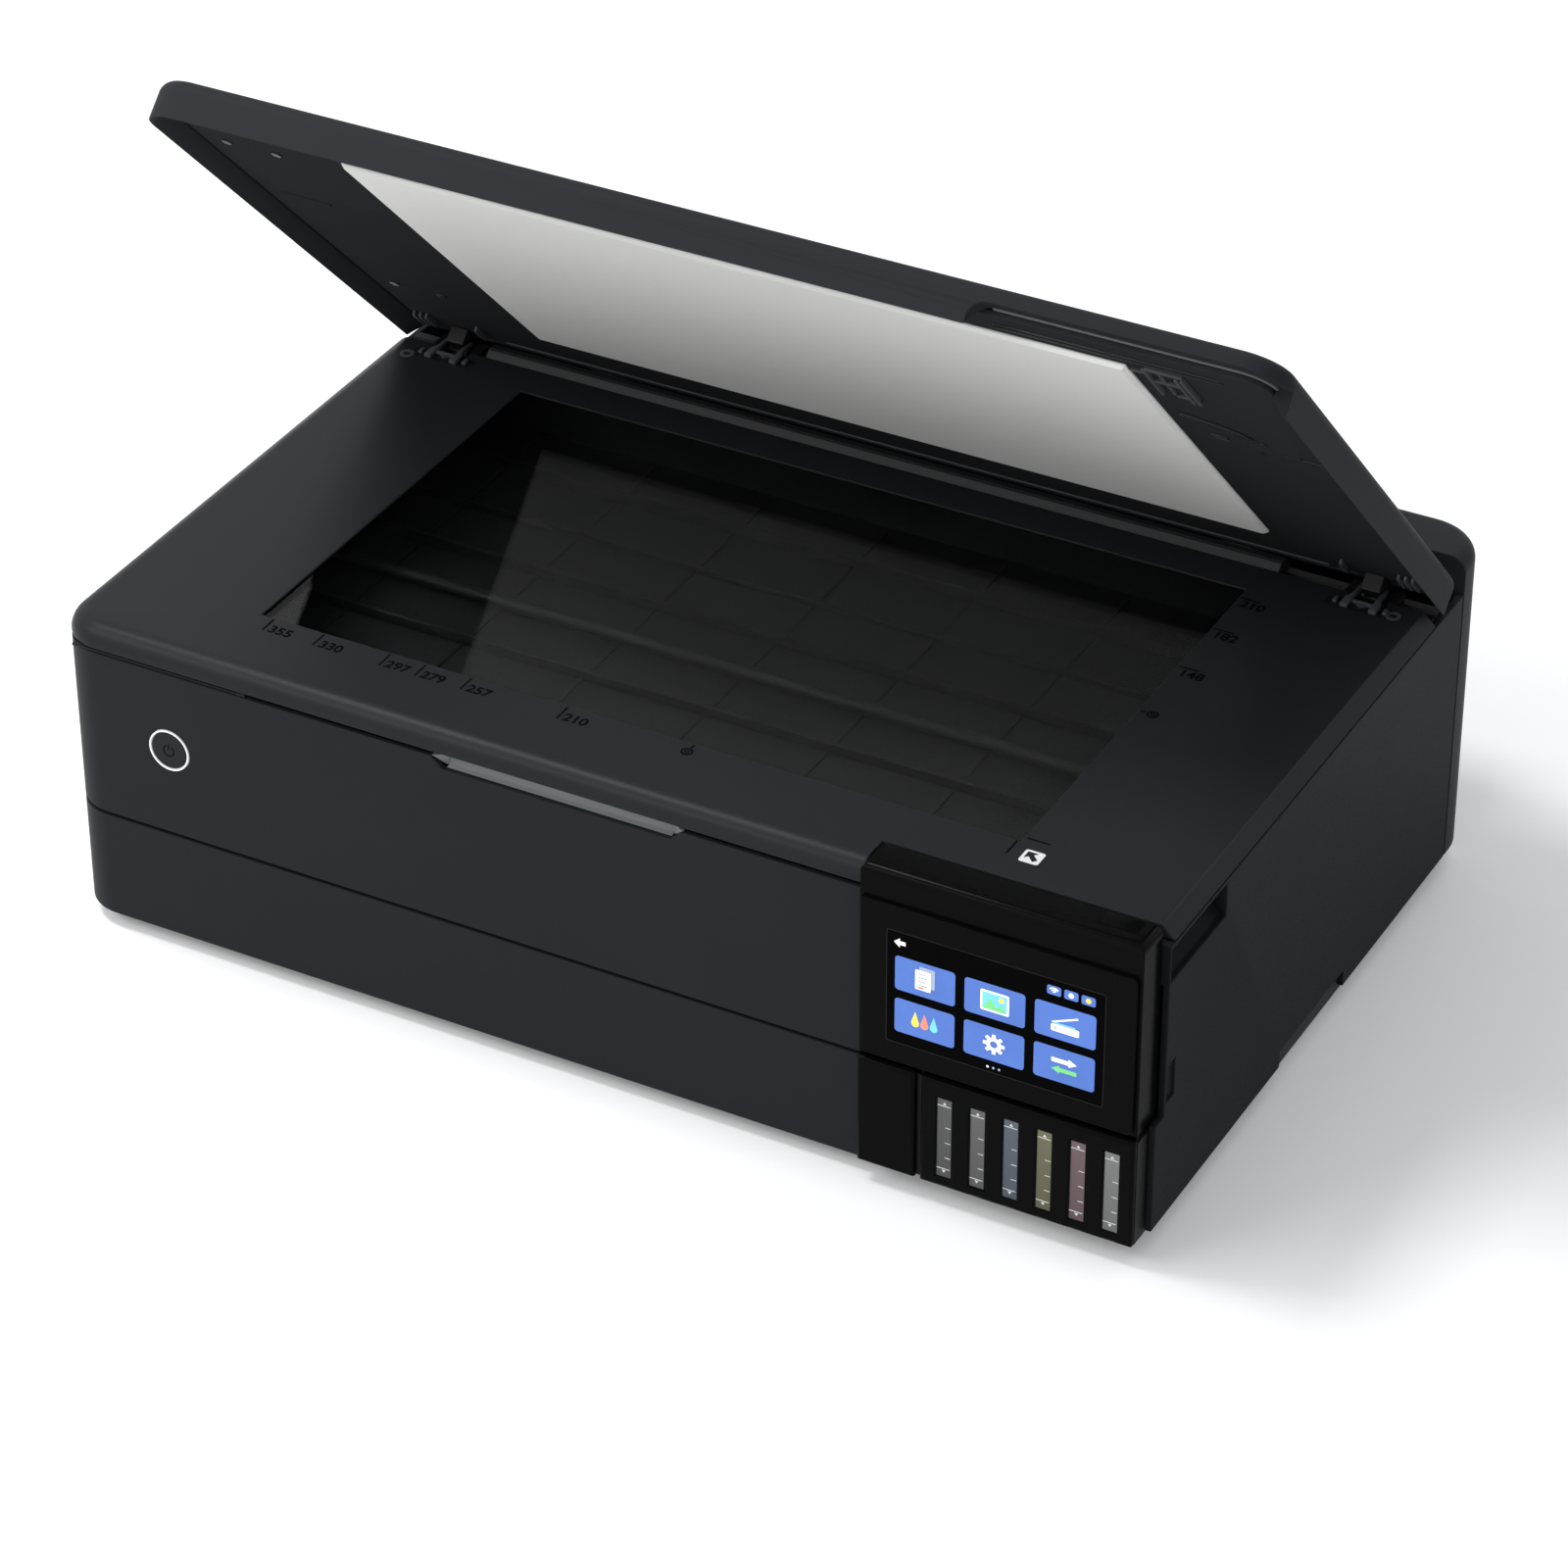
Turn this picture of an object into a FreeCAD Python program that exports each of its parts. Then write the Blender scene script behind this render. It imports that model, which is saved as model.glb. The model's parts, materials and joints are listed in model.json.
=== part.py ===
"""Wide flatbed all-in-one inkjet printer with six refillable ink tanks, as separate pieces.

The frame: millimetres, +Z up, the front looks along -Y, the origin lies under the middle of the case.
The lid stands open, as it does while a page is laid on the glass.
"""
import FreeCAD
import Part
import os
import re
import Sketcher

# Driving sizes, in millimetres and degrees
SIZES = {
    # Case
    "case_width": 523, "front_reach": 189.5, "body_rear": 160, "rear_depth": 31,
    "rear_top": 166, "panel_step": 5.5, "corner_radius": 22, "rear_radius": 25, "rear_round": 8,
    "edge_radius": 4,
    "wall": 3, "fit": 0.4, "seam_gap": 0.6, "foot_height": 6, "foot_radius": 9, "floor_thickness": 3,
    "side_bottom": 11, "side_step": 8, "step_start": 50, "step_length": 66,
    # Front panels
    "fascia_top": 143, "cover_top": 59.4, "cover_gap": 1.6, "cover_bottom": 7,
    "notch_left": 74, "notch_right": 51, "notch_slope": 8, "notch_depth": 5, "notch_reach": 9,
    "button_inset": 56.9, "button_height": 104, "button_radius": 8.9, "ring_radius": 10,
    "button_gap": 0.35,
    "button_length": 9, "button_travel": 2, "cover_pin_back": 11, "cover_pin_height": 12.5,
    "cover_pin_radius": 2.5,
    "cover_lug": 10, "cover_lug_inset": 34,
    # Control panel and tank unit
    "unit_width": 129.7, "unit_side": 3.4, "panel_top": 157.6, "panel_bottom": 64.5, "panel_depth": 19.5,
    "face_thickness": 2.2, "face_top": 143, "face_inset": 1.6, "panel_pin_radius": 2, "panel_pin_back": 4,
    "panel_pin_drop": 6.6, "ear_radius": 3.2, "ear_width": 5, "ear_inset": 16,
    "tank_bottom": 9.4, "tank_clear": 10.5, "trim_width": 26.8, "trim_gap": 2.4,
    "window_first": 37.1, "window_pitch": 15.12, "window_width": 7.7, "window_bottom": 14.4,
    "window_top": 55.4,
    "window_stand": 0.6, "tank_width": 12.6, "tank_low": 24, "tank_front_top": 59, "tank_high_top": 103,
    "neck_radius": 4, "neck_height": 6, "cap_radius": 5.4, "cap_height": 7,
    # Scanner unit
    "scanner_top": 155, "bezel_height": 6.1, "bezel_rear": 98, "bezel_bevel": 6.1, "front_round": 9,
    "front_lip": 3.6, "glass_left": 182.5, "glass_right": 180.5, "glass_rear": 78.5,
    "glass_inset": 50.2, "glass_lap": 8, "tray_inset": 31.5, "glass_thickness": 3, "glass_recess": 1.2,
    "tray_bottom": 121, "tray_side": 18,
    "tray_wall": 2.5, "shelf_top": 149.5, "shelf_thickness": 4.5, "shelf_rear": 112,
    "ridge_gap": 16, "ridge_short": 27, "ridge_front": 97, "ridge_top": 157.2, "ridge_bevel": 5,
    "scan_bar_width": 20, "scan_bar_height": 11, "scan_rod_radius": 3, "scan_rod_drop": 21,
    "scan_home": 8,
    "scanner_axis_y": 118, "scanner_axis_z": 146, "scanner_pin_radius": 2.5, "scanner_barrel": 4.4,
    "scanner_arm_across": 160, "scanner_arm_width": 10,
    # Lid
    "lid_top": 169, "lid_height": 18.5, "lid_rear": 106.3, "lid_skin": 3, "lid_skirt": 7.5,
    "lid_bevel": 7,
    "lid_corner": 20, "lid_round": 6, "lid_open_angle": 45.8, "lid_pin_radius": 2, "lid_pin_inset": 0.8,
    "lid_pin_drop": 0.5, "lid_barrel": 4.2, "lid_arm_inset": 31.5, "lid_arm_width": 9,
    "lid_liner_drop": 11,
    "lid_liner_thickness": 2.5, "lid_liner_rear": 6, "mat_left": 175, "mat_inset": 33.5,
    "mat_right": 188, 
    "mat_rear": 66, "mat_bevel": 1.6, "mat_gap": 0.4, "panel_room": 3.4,
    # Paper path and print engine
    "paper_right": 100, "tray_setback": 27, "tray_height": 47, "tray_thickness": 4,
    "tray_length": 170, "extension_setback": 112, "extension_thickness": 2, "cassette_length": 240,
    "cassette_left": 190, "cassette_width": 240, "cassette_height": 13, "cassette_gap": 2,
    "cassette_lift": 3,
    "frame_gap": 22.5, "frame_sheet": 2, "roller_clear": 2, "frame_front": 70, "frame_rear": 108,
    "frame_top": 114,
    "rod_radius": 4, "rod_y": 30, "rod_height": 104, "carriage_width": 56, "carriage_park": 8,
    "carriage_depth": 62,
    "carriage_bottom": 76, "carriage_top": 112, "head_drop": 5, "platen_top": 66,
    "roller_radius": 6, "feed_y": 50, "roller_height": 64, "eject_y": -58, "roller_journal": 3,
    "running_gap": 0.05,
    "pulley_radius": 7, "pulley_width": 7, "belt_thickness": 1.2, "belt_width": 5, "belt_y": 62,
    "belt_height": 100, "motor_clear": 2,
    "pulley_inset": 22, "pulley_bore": 2, "pickup_radius": 9, "pickup_height": 132,
    # Rear
    "slot_right": 104, "slot_front": 8, "slot_rear": 6, "flap_thickness": 3,
    "flap_pin_radius": 1.5,
    "flap_pin_back": 3, "jam_cover_depth": 29.5, "jam_round": 12, "jam_inset": 71.5,
    "jam_cover_bottom": 30, "jam_cover_top": 140,
    "inlet_inset": 35.5, "inlet_height": 40, "port_inset": 39.5, "port_height": 60,
}

# Places worked out from the sizes
PLACES = {
    "side": "case_width / 2", "front": "-front_reach", "panel_face": "front + panel_step",
    "unit_left": "side - unit_width", "unit_right": "side - unit_side",
    "corner_end": "panel_face + corner_radius",
    "floor_top": "foot_height + floor_thickness", "fascia_bottom": "cover_top + cover_gap",
    "bezel_bottom": "scanner_top - bezel_height", "side_top": "bezel_bottom - seam_gap",
    "rear_front": "body_rear - rear_depth", "inner_side": "side - wall",
    "cover_pin_y": "panel_face + cover_pin_back",
    "panel_back": "front + panel_depth", "panel_pin_y": "panel_back - panel_pin_back",
    "panel_pin_z": "panel_top - panel_pin_drop", "tank_rear": "-frame_front - wall - tank_clear",
    "tank_unit_top": "panel_bottom - wall - fit",
    "unit_room": "panel_back + panel_pin_back + fit",
    "tray_inner_side": "side - tray_side", "glass_bottom": "scanner_top - glass_recess - glass_thickness",
    "scan_rod_z": "bezel_bottom - scan_rod_drop", "scan_bar_top": "bezel_bottom - 2 * fit",
    "lid_bottom": "lid_top - lid_height", "lid_axis_y": "lid_rear - lid_pin_inset",
    "lid_axis_z": "lid_bottom - lid_pin_drop", "lid_front": "panel_face - fit",
    "liner_bottom": "lid_top - lid_liner_drop", "liner_rear": "lid_rear - lid_liner_rear",
    "ridge_rear": "shelf_rear", "cassette_front": "corner_end + cassette_lift",
    "lower_cassette": "floor_top + cassette_lift",
    "upper_cassette": "lower_cassette + cassette_height + cassette_gap",
    "tray_face": "panel_face + wall + tray_setback",
    "extension_face": "panel_face + wall + extension_setback",
    "tray_front": "front_reach - tray_inset", "glass_front": "front_reach - glass_inset",
    "mat_front": "front_reach - mat_inset", "lid_arm_across": "side - lid_arm_inset",
    "ridge_left": "lid_arm_across - ridge_gap", "ridge_right": "ridge_left - ridge_short",
    "rear_reach": "body_rear + jam_cover_depth", "jam_side": "side - jam_inset",
    "inlet_across": "side - inlet_inset", "port_across": "side - port_inset",
    "button_across": "side - button_inset", "motor_bottom": "roller_height + roller_journal + motor_clear",
    "frame_side": "inner_side - frame_gap", "paper_left": "frame_in - roller_clear",
    "slot_left": "paper_left",
    "carriage_home": "frame_in - carriage_park - carriage_width",
    "frame_in": "frame_side - frame_sheet", "slot_start": "rear_front + slot_front",
    "slot_end": "body_rear - slot_rear",
    "flap_pin_y": "slot_end - flap_pin_back", "flap_pin_z": "rear_top - flap_thickness / 2",
    "belt_left": "-frame_in + pulley_inset", "belt_right": "frame_in - pulley_inset",
}

doc = FreeCAD.newDocument("Printer")
sheet = doc.addObject("Spreadsheet::Sheet", "Sizes")
for row, (alias, number) in enumerate(SIZES.items(), 1):
    sheet.set(f"A{row}", alias)
    sheet.set(f"B{row}", str(number))
    sheet.setAlias(f"B{row}", alias)
doc.recompute()

nodes = {}


def bound(text):
    """Write a size expression with the sheet's cells in place of the plain names."""
    def swap(match):
        word = match.group(0)
        if word in PLACES:
            return "(" + bound(PLACES[word]) + ")"
        return "Sizes." + word if word in SIZES else word
    return re.sub(r"[a-z]\w*", swap, text)


def measure(text):
    """The present value of an expression of sizes."""
    return float(sheet.evalExpression(bound(text)))


def keep(name, thing):
    """Make an object one of the printer's named pieces."""
    thing.Label = name
    nodes[name] = thing
    return thing


def box(name, across, along, up):
    """A block between two places on each axis."""
    block = doc.addObject("Part::Box", name)
    for size, axis, (low, high) in zip(("Length", "Width", "Height"), "xyz", (across, along, up)):
        block.setExpression(size, bound(f"({high}) - ({low})"))
        block.setExpression(f"Placement.Base.{axis}", bound(low))
    return block


TURNS = {"x": ((0, 1, 0), 90, "xyz"), "y": ((1, 0, 0), -90, "yxz"), "z": ((0, 0, 1), 0, "zxy")}


def rod(name, axis, radius, span, centre):
    """A round bar along an axis, between two places, about a centre on the other two axes."""
    bar = doc.addObject("Part::Cylinder", name)
    turn, angle, order = TURNS[axis]
    bar.Placement = FreeCAD.Placement(FreeCAD.Vector(), FreeCAD.Rotation(FreeCAD.Vector(*turn), angle))
    bar.setExpression("Radius", bound(radius))
    bar.setExpression("Height", bound(f"({span[1]}) - ({span[0]})"))
    for letter, place in zip(order, (span[0], *centre)):
        bar.setExpression(f"Placement.Base.{letter}", bound(place))
    return bar


def cut(name, base, *tools):
    """Take tools away from a base."""
    for count, tool in enumerate(tools):
        step = doc.addObject("Part::Cut", name if count == len(tools) - 1 else f"{name}_cut{count}")
        step.Base = base
        step.Tool = tool
        base = step
    return base


def fuse(name, *things):
    """Join things into one solid."""
    joined = doc.addObject("Part::MultiFuse", name)
    joined.Shapes = list(things)
    joined.Refine = True
    return joined


def group(name, *things):
    """Separate solids that share one piece's name."""
    together = doc.addObject("Part::Compound", name)
    together.Links = list(things)
    return together


def edges_at(shape, along, **ends):
    """Numbers of the straight edges along an axis that lie at the named ends of the shape."""
    limits = shape.BoundBox
    found = []
    for number, edge in enumerate(shape.Edges, 1):
        first, last = edge.Vertexes[0].Point, edge.Vertexes[-1].Point
        moved = [axis for axis in "xyz" if abs(getattr(first, axis) - getattr(last, axis)) > 1e-6]
        if moved != [along]:
            continue
        wanted = [getattr(limits, f"{axis.upper()}{end}") for axis, end in ends.items()]
        placed = [getattr(first, axis) for axis in ends]
        if all(abs(a - b) < 1e-6 for a, b in zip(wanted, placed)):
            found.append(number)
    return found


def soften(kind, name, base, size, *picks):
    """Round (Fillet) or bevel (Chamfer) the picked edges of a base."""
    doc.recompute()
    amount = measure(size)
    numbers = sorted({number for along, ends in picks for number in edges_at(base.Shape, along, **ends)})
    eased = doc.addObject(f"Part::{kind}", name)
    eased.Base = base
    eased.Edges = [(number, amount, amount) for number in numbers]
    return eased


def plate(name, plane, corners, thickness, offset):
    """A padded sketch: pairs of expressions on a plane, set at an offset along the plane's normal."""
    body = doc.addObject("PartDesign::Body", name)
    sketch = body.newObject("Sketcher::SketchObject", f"{name}_outline")
    support = [item for item in body.Origin.OriginFeatures if item.Role == plane][0]
    sketch.AttachmentSupport = (support, [""])
    sketch.MapMode = "FlatFace"
    points = [FreeCAD.Vector(measure(a), measure(b), 0) for a, b in corners]
    count = len(points)
    for index in range(count):
        sketch.addGeometry(Part.LineSegment(points[index], points[(index + 1) % count]))
    for index in range(count):
        sketch.addConstraint(Sketcher.Constraint("Coincident", index, 2, (index + 1) % count, 1))
    for index, pair in enumerate(corners):
        for kind, place in zip(("DistanceX", "DistanceY"), pair):
            number = sketch.addConstraint(Sketcher.Constraint(kind, -1, 1, index, 1, measure(place)))
            sketch.setExpression(f"Constraints[{number}]", bound(place))
    pad = body.newObject("PartDesign::Pad", f"{name}_pad")
    pad.Profile = sketch
    pad.setExpression("Length", bound(thickness))
    axis = {"YZ_Plane": "x", "XZ_Plane": "y", "XY_Plane": "z"}[plane]
    body.setExpression(f"Placement.Base.{axis}", bound(offset))
    return body


def wrap_panel(name, low, high):
    """A front panel that wraps the left corner of the case, from low to high, hollow behind."""
    outer = box(f"{name}_outer", ("-side", "unit_left - seam_gap"), ("panel_face", "corner_end"),
                (low, high))
    curved = soften("Fillet", f"{name}_curved", outer, "corner_radius - fit",
                    ("z", {"x": "Min", "y": "Min"}))
    hollow = box(f"{name}_hollow", ("-inner_side", "unit_left"),
                 ("panel_face + wall", "corner_end + wall"), (f"{low} - wall", f"{high} + wall"))
    inside = soften("Fillet", f"{name}_inside", hollow, "corner_radius - wall",
                    ("z", {"x": "Min", "y": "Min"}))
    return cut(f"{name}_shell", curved, inside)


def bottom_case():
    """Floor with a low rim on three sides, open in front for the cassettes, and the cover's hinge ears."""
    low, high = "foot_height", "floor_top + cassette_height"
    outer = box("case_outer", ("-inner_side + fit", "inner_side - fit"),
                ("corner_end + wall", "body_rear - 2 * wall"), (low, high))
    eased = soften("Fillet", "case_eased", outer, "rear_radius - wall", ("z", {"y": "Max"}))
    inner = box("case_inner", ("-inner_side + fit + wall", "inner_side - fit - wall"),
                ("corner_end", "body_rear - 3 * wall"), ("floor_top", f"{high} + wall"))
    bay = box("case_bay", ("unit_left", "side"), ("panel_face", "tank_rear + wall + 2 * fit"),
              ("floor_top", f"{high} + wall"))
    parts = [cut("case_tray", eased, inner, bay)]
    left, right = "-cassette_left", "-cassette_left + cassette_width"
    runs = ((f"{left} - wall", f"{left} - fit"), (f"{right} + fit", f"{right} + wall"))
    for number, (near, far) in enumerate(runs):
        parts.append(box(f"rail{number}", (near, far),
                         ("cassette_front", "cassette_front + cassette_length"),
                         ("floor_top", "tray_height - fit")))
    for number, place in enumerate(("-side + cover_lug_inset", "unit_left - cover_lug_inset")):
        across = (f"{place} - cover_lug / 2", f"{place} + cover_lug / 2")
        ear = box(f"case_ear{number}", across, ("cover_pin_y", "corner_end + 2 * wall"),
                  ("cover_pin_height - cover_lug / 2", "cover_pin_height + cover_lug / 2"))
        nose = rod(f"case_nose{number}", "x", "cover_lug / 2", across,
                   ("cover_pin_y", "cover_pin_height"))
        parts += [ear, nose]
    whole = fuse("case_whole", *parts)
    bore = rod("case_bore", "x", "cover_pin_radius + running_gap", ("-side", "unit_left"),
               ("cover_pin_y", "cover_pin_height"))
    keep("bottom_case", cut("bottom_case", whole, bore))


def feet():
    """Four rubber feet under the floor."""
    places = [(x, y) for x in ("-side + 2 * cover_lug_inset",
                               "side - cover_lug_inset") for y in ("corner_end + cover_lug_inset",
                                                                   "body_rear - cover_lug_inset")]
    pads = [rod(f"foot{number}", "z", "foot_radius", ("0", "foot_height"), place) for number,
            place in enumerate(places)]
    keep("rubber_feet", group("rubber_feet", *pads))


def side_panels():
    """Left and right outer side plates; the right one has a hand recess behind the control panel."""
    foot_end = "-step_start + step_length"
    begin = "corner_end + cover_gap + fit"
    left = [(begin, "side_bottom"), ("rear_front - seam_gap", "side_bottom"),
            ("rear_front - seam_gap", "side_top"), (begin, "side_top")]
    keep("left_side_panel", plate("left_side_panel", "YZ_Plane", left, "wall", "-side"))
    start, turn = "panel_back + seam_gap", "panel_face + 2 * wall + seam_gap"
    right = [(turn, "side_bottom"), ("-step_start", "side_bottom"),
             ("-step_start", "side_bottom + side_step"), (foot_end, "side_bottom + side_step"),
             (foot_end, "side_bottom"), ("rear_front - seam_gap", "side_bottom"),
             ("rear_front - seam_gap", "side_top"), (start, "side_top"), (start, "panel_bottom"),
             (turn, "panel_bottom")]
    skin = plate("right_skin", "YZ_Plane", right, "wall", "side - wall")
    depth, rim = "side - tray_side / 2", "wall / 2"
    low, high, near, far = "side_top - tray_side", "side_top - seam_gap", start, "panel_back + 3 * tray_side"
    cup = box("recess_cup", (f"{depth} - {rim}", "side - wall"), (near, f"{far} + {rim}"),
              (f"{low} - {rim}", "side_top"))
    hollow = box("recess_hollow", (depth, "side + wall"), (f"{near} + {rim}", far),
                 (low, f"{high} - {rim}"))
    shaped = soften("Chamfer", "recess_shaped", hollow, "tray_side / 3", ("y", {"x": "Min", "z": "Min"}))
    vent = box("recess_vent", ("side - wall / 2", "side + wall"),
               (f"{near} + wall / 2", f"{near} + 3 * wall"),
               ("panel_bottom + 2 * wall", "panel_bottom + 8 * wall"))
    keep("right_side_panel", cut("right_side_panel", fuse("right_cupped", skin, cup), shaped, vent))


def pickup_bearings():
    """Bearing blocks inside the rear housing for the pickup roller."""
    bearings = []
    for number, place in enumerate(("-slot_left", "slot_right - 2 * wall")):
        bearings.append(box(f"pickup_bearing{number}", (place, f"{place} + 2 * wall"),
                            ("slot_start", "body_rear - wall"),
                            ("pickup_height - 2 * roller_journal", "pickup_height + 2 * roller_journal")))
    hole = rod("pickup_hole", "x", "roller_journal + running_gap", ("-side", "side"),
               ("slot_start + pickup_radius", "pickup_height"))
    return [cut(f"pickup_bored{number}", block, hole) for number, block in enumerate(bearings)]


def rear_housing():
    """Rear section behind the lid: rounded corners, a feed slot in its top and open inside."""
    outer = box("rear_outer", ("-side", "side"), ("rear_front", "body_rear"), ("side_bottom", "rear_top"))
    upright = soften("Fillet", "rear_corners", outer, "rear_radius", ("z", {"y": "Max"}))
    round_corners = soften("Fillet", "rear_brow", upright, "rear_round", ("x", {"y": "Max", "z": "Max"}))
    inner = box("rear_inner", ("-inner_side", "inner_side"), ("rear_front + wall", "body_rear - wall"),
                ("side_bottom - wall", "rear_top - 2 * wall"))
    hollow = soften("Fillet", "rear_hollow", inner, "rear_radius - wall", ("z", {"y": "Max"}))
    doorway = box("rear_doorway", ("-inner_side", "inner_side"),
                  ("rear_front - wall", "rear_front + 2 * wall"),
                  ("side_bottom - wall", "shelf_top - 2 * wall"))
    slot = box("rear_slot", ("-slot_left", "slot_right"), ("slot_start", "slot_end"),
               ("rear_top - 3 * wall", "rear_top + wall"))
    bores = rod("rear_bores", "x", "flap_pin_radius + running_gap",
                ("-slot_left - 2 * wall", "slot_right + 2 * wall"), ("flap_pin_y", "flap_pin_z"))
    shell = cut("rear_shell", round_corners, hollow, doorway, slot, bores)
    keep("rear_housing", fuse("rear_housing", shell, *scanner_brackets(), *pickup_bearings()))
    flap = box("flap_plate", ("-slot_left + fit", "slot_right - fit"), ("slot_start + fit", "flap_pin_y"),
               ("rear_top - flap_thickness", "rear_top"))
    spine = rod("flap_spine", "x", "flap_thickness / 2", ("-slot_left + fit", "slot_right - fit"),
                ("flap_pin_y", "flap_pin_z"))
    pins = rod("flap_pins", "x", "flap_pin_radius", ("-slot_left - wall", "slot_right + wall"),
               ("flap_pin_y", "flap_pin_z"))
    keep("rear_feed_cover", fuse("rear_feed_cover", flap, spine, pins))
    jam = box("jam_block", ("-jam_side", "jam_side"), ("body_rear", "rear_reach"),
              ("jam_cover_bottom", "jam_cover_top"))
    eased = soften("Fillet", "jam_eased", jam, "jam_round", ("z", {"y": "Max"}), ("x", {"y": "Max"}))
    hollow = box("jam_hollow", ("-jam_side + wall", "jam_side - wall"),
                 ("body_rear - wall", "rear_reach - wall"),
                 ("jam_cover_bottom + wall", "jam_cover_top - wall"))
    keep("rear_jam_cover",
         cut("rear_jam_cover", eased,
             soften("Fillet", "jam_inside", hollow, "jam_round - edge_radius", ("z", {"y": "Max"}),
                    ("x", {"y": "Max"}))))


def rear_sockets():
    """Mains inlet and data sockets on the rear wall."""
    inlet = box("inlet_block", ("-inlet_across - 5 * wall", "-inlet_across"),
                ("body_rear", "body_rear + 2 * wall"), ("inlet_height", "inlet_height + 4 * wall"))
    mouth = box("inlet_mouth", ("-inlet_across - 4 * wall", "-inlet_across - wall"),
                ("body_rear + wall / 3", "body_rear + 3 * wall"),
                ("inlet_height + wall", "inlet_height + 3 * wall"))
    keep("power_inlet", cut("power_inlet", inlet, mouth))
    block = box("port_block", ("port_across - 6 * wall", "port_across"),
                ("body_rear", "body_rear + 2 * wall"), ("port_height", "port_height + 12 * wall"))
    holes = [box(f"port_hole{number}", ("port_across - 5 * wall", "port_across - wall"),
                 ("body_rear + wall / 3", "body_rear + 3 * wall"),
                 (f"port_height + {low} * wall", f"port_height + {high} * wall")) for number,
             (low, high) in enumerate(((1, 5), (7, 11)))]
    keep("data_ports", cut("data_ports", block, *holes))


def front_panels():
    """Upper fascia with finger notch, button hole and side tongue; lower cover with its hinge lugs."""
    shell = wrap_panel("fascia", "fascia_bottom", "fascia_top")
    slope = [("-notch_left", "fascia_top + wall"),
             ("-notch_left + notch_slope", "fascia_top - notch_depth"),
             ("notch_right - notch_slope", "fascia_top - notch_depth"),
             ("notch_right", "fascia_top + wall")]
    notch = plate("fascia_notch", "XZ_Plane", slope, "notch_reach", "panel_face + notch_reach - wall")
    hole = rod("fascia_hole", "y", "ring_radius + button_gap",
               ("panel_face - wall", "panel_face + 2 * wall"), ("-button_across", "button_height"))
    tongue = box("fascia_tongue", ("-inner_side", "-inner_side + wall / 2"),
                 ("corner_end - 2 * wall", "corner_end + 5 * wall"),
                 ("fascia_bottom + 3 * wall", "fascia_top - 3 * wall"))
    keep("front_fascia", fuse("front_fascia", cut("fascia_opened", shell, notch, hole), tongue))
    ring = rod("ring_disc", "y", "ring_radius", ("panel_face", "panel_face + wall"),
               ("-button_across", "button_height"))
    bore = rod("ring_bore", "y", "button_radius + button_gap",
               ("panel_face - wall", "panel_face + 2 * wall"), ("-button_across", "button_height"))
    keep("power_ring", cut("power_ring", ring, bore))
    keep("power_button",
         rod("power_button", "y", "button_radius", ("panel_face", "panel_face + button_length"),
             ("-button_across", "button_height")))
    lamp = box("button_board", ("-button_across - 2 * ring_radius", "-button_across + 2 * ring_radius"),
               ("panel_face + button_length + button_travel + fit",
                "panel_face + button_length + button_travel + wall"),
               ("button_height - ring_radius", "button_height + ring_radius"))
    stay = box("button_stay",
               ("-button_across + ring_radius + 2 * button_gap", "-button_across + 2 * ring_radius"),
               ("panel_face + wall", "panel_face + button_length + button_travel + wall"),
               ("button_height - ring_radius", "button_height + ring_radius"))
    keep("button_board", fuse("button_board_whole", lamp, stay))
    cover = wrap_panel("cover", "cover_bottom", "cover_top")
    lugs = []
    hinges = (("-side + cover_lug_inset", 1), ("unit_left - cover_lug_inset", -1))
    for number, (place, way) in enumerate(hinges):
        near = f"{place} + {way} * (cover_lug / 2 + fit)"
        far = f"{place} + {way} * (cover_lug * 1.5)"
        ends = (near, far) if way > 0 else (far, near)
        lugs.append(box(f"cover_lug{number}", ends, ("panel_face + wall", "cover_pin_y"),
                        ("cover_pin_height - cover_lug / 2", "cover_pin_height + cover_lug / 2")))
        lugs.append(rod(f"cover_knuckle{number}", "x", "cover_lug / 2", ends,
                        ("cover_pin_y", "cover_pin_height")))
        pin = (f"{place} - cover_lug / 2", far) if way > 0 else (far, f"{place} + cover_lug / 2")
        lugs.append(rod(f"cover_pin{number}", "x", "cover_pin_radius", pin,
                        ("cover_pin_y", "cover_pin_height")))
    keep("front_cover", fuse("front_cover", cover, *lugs))


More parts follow.
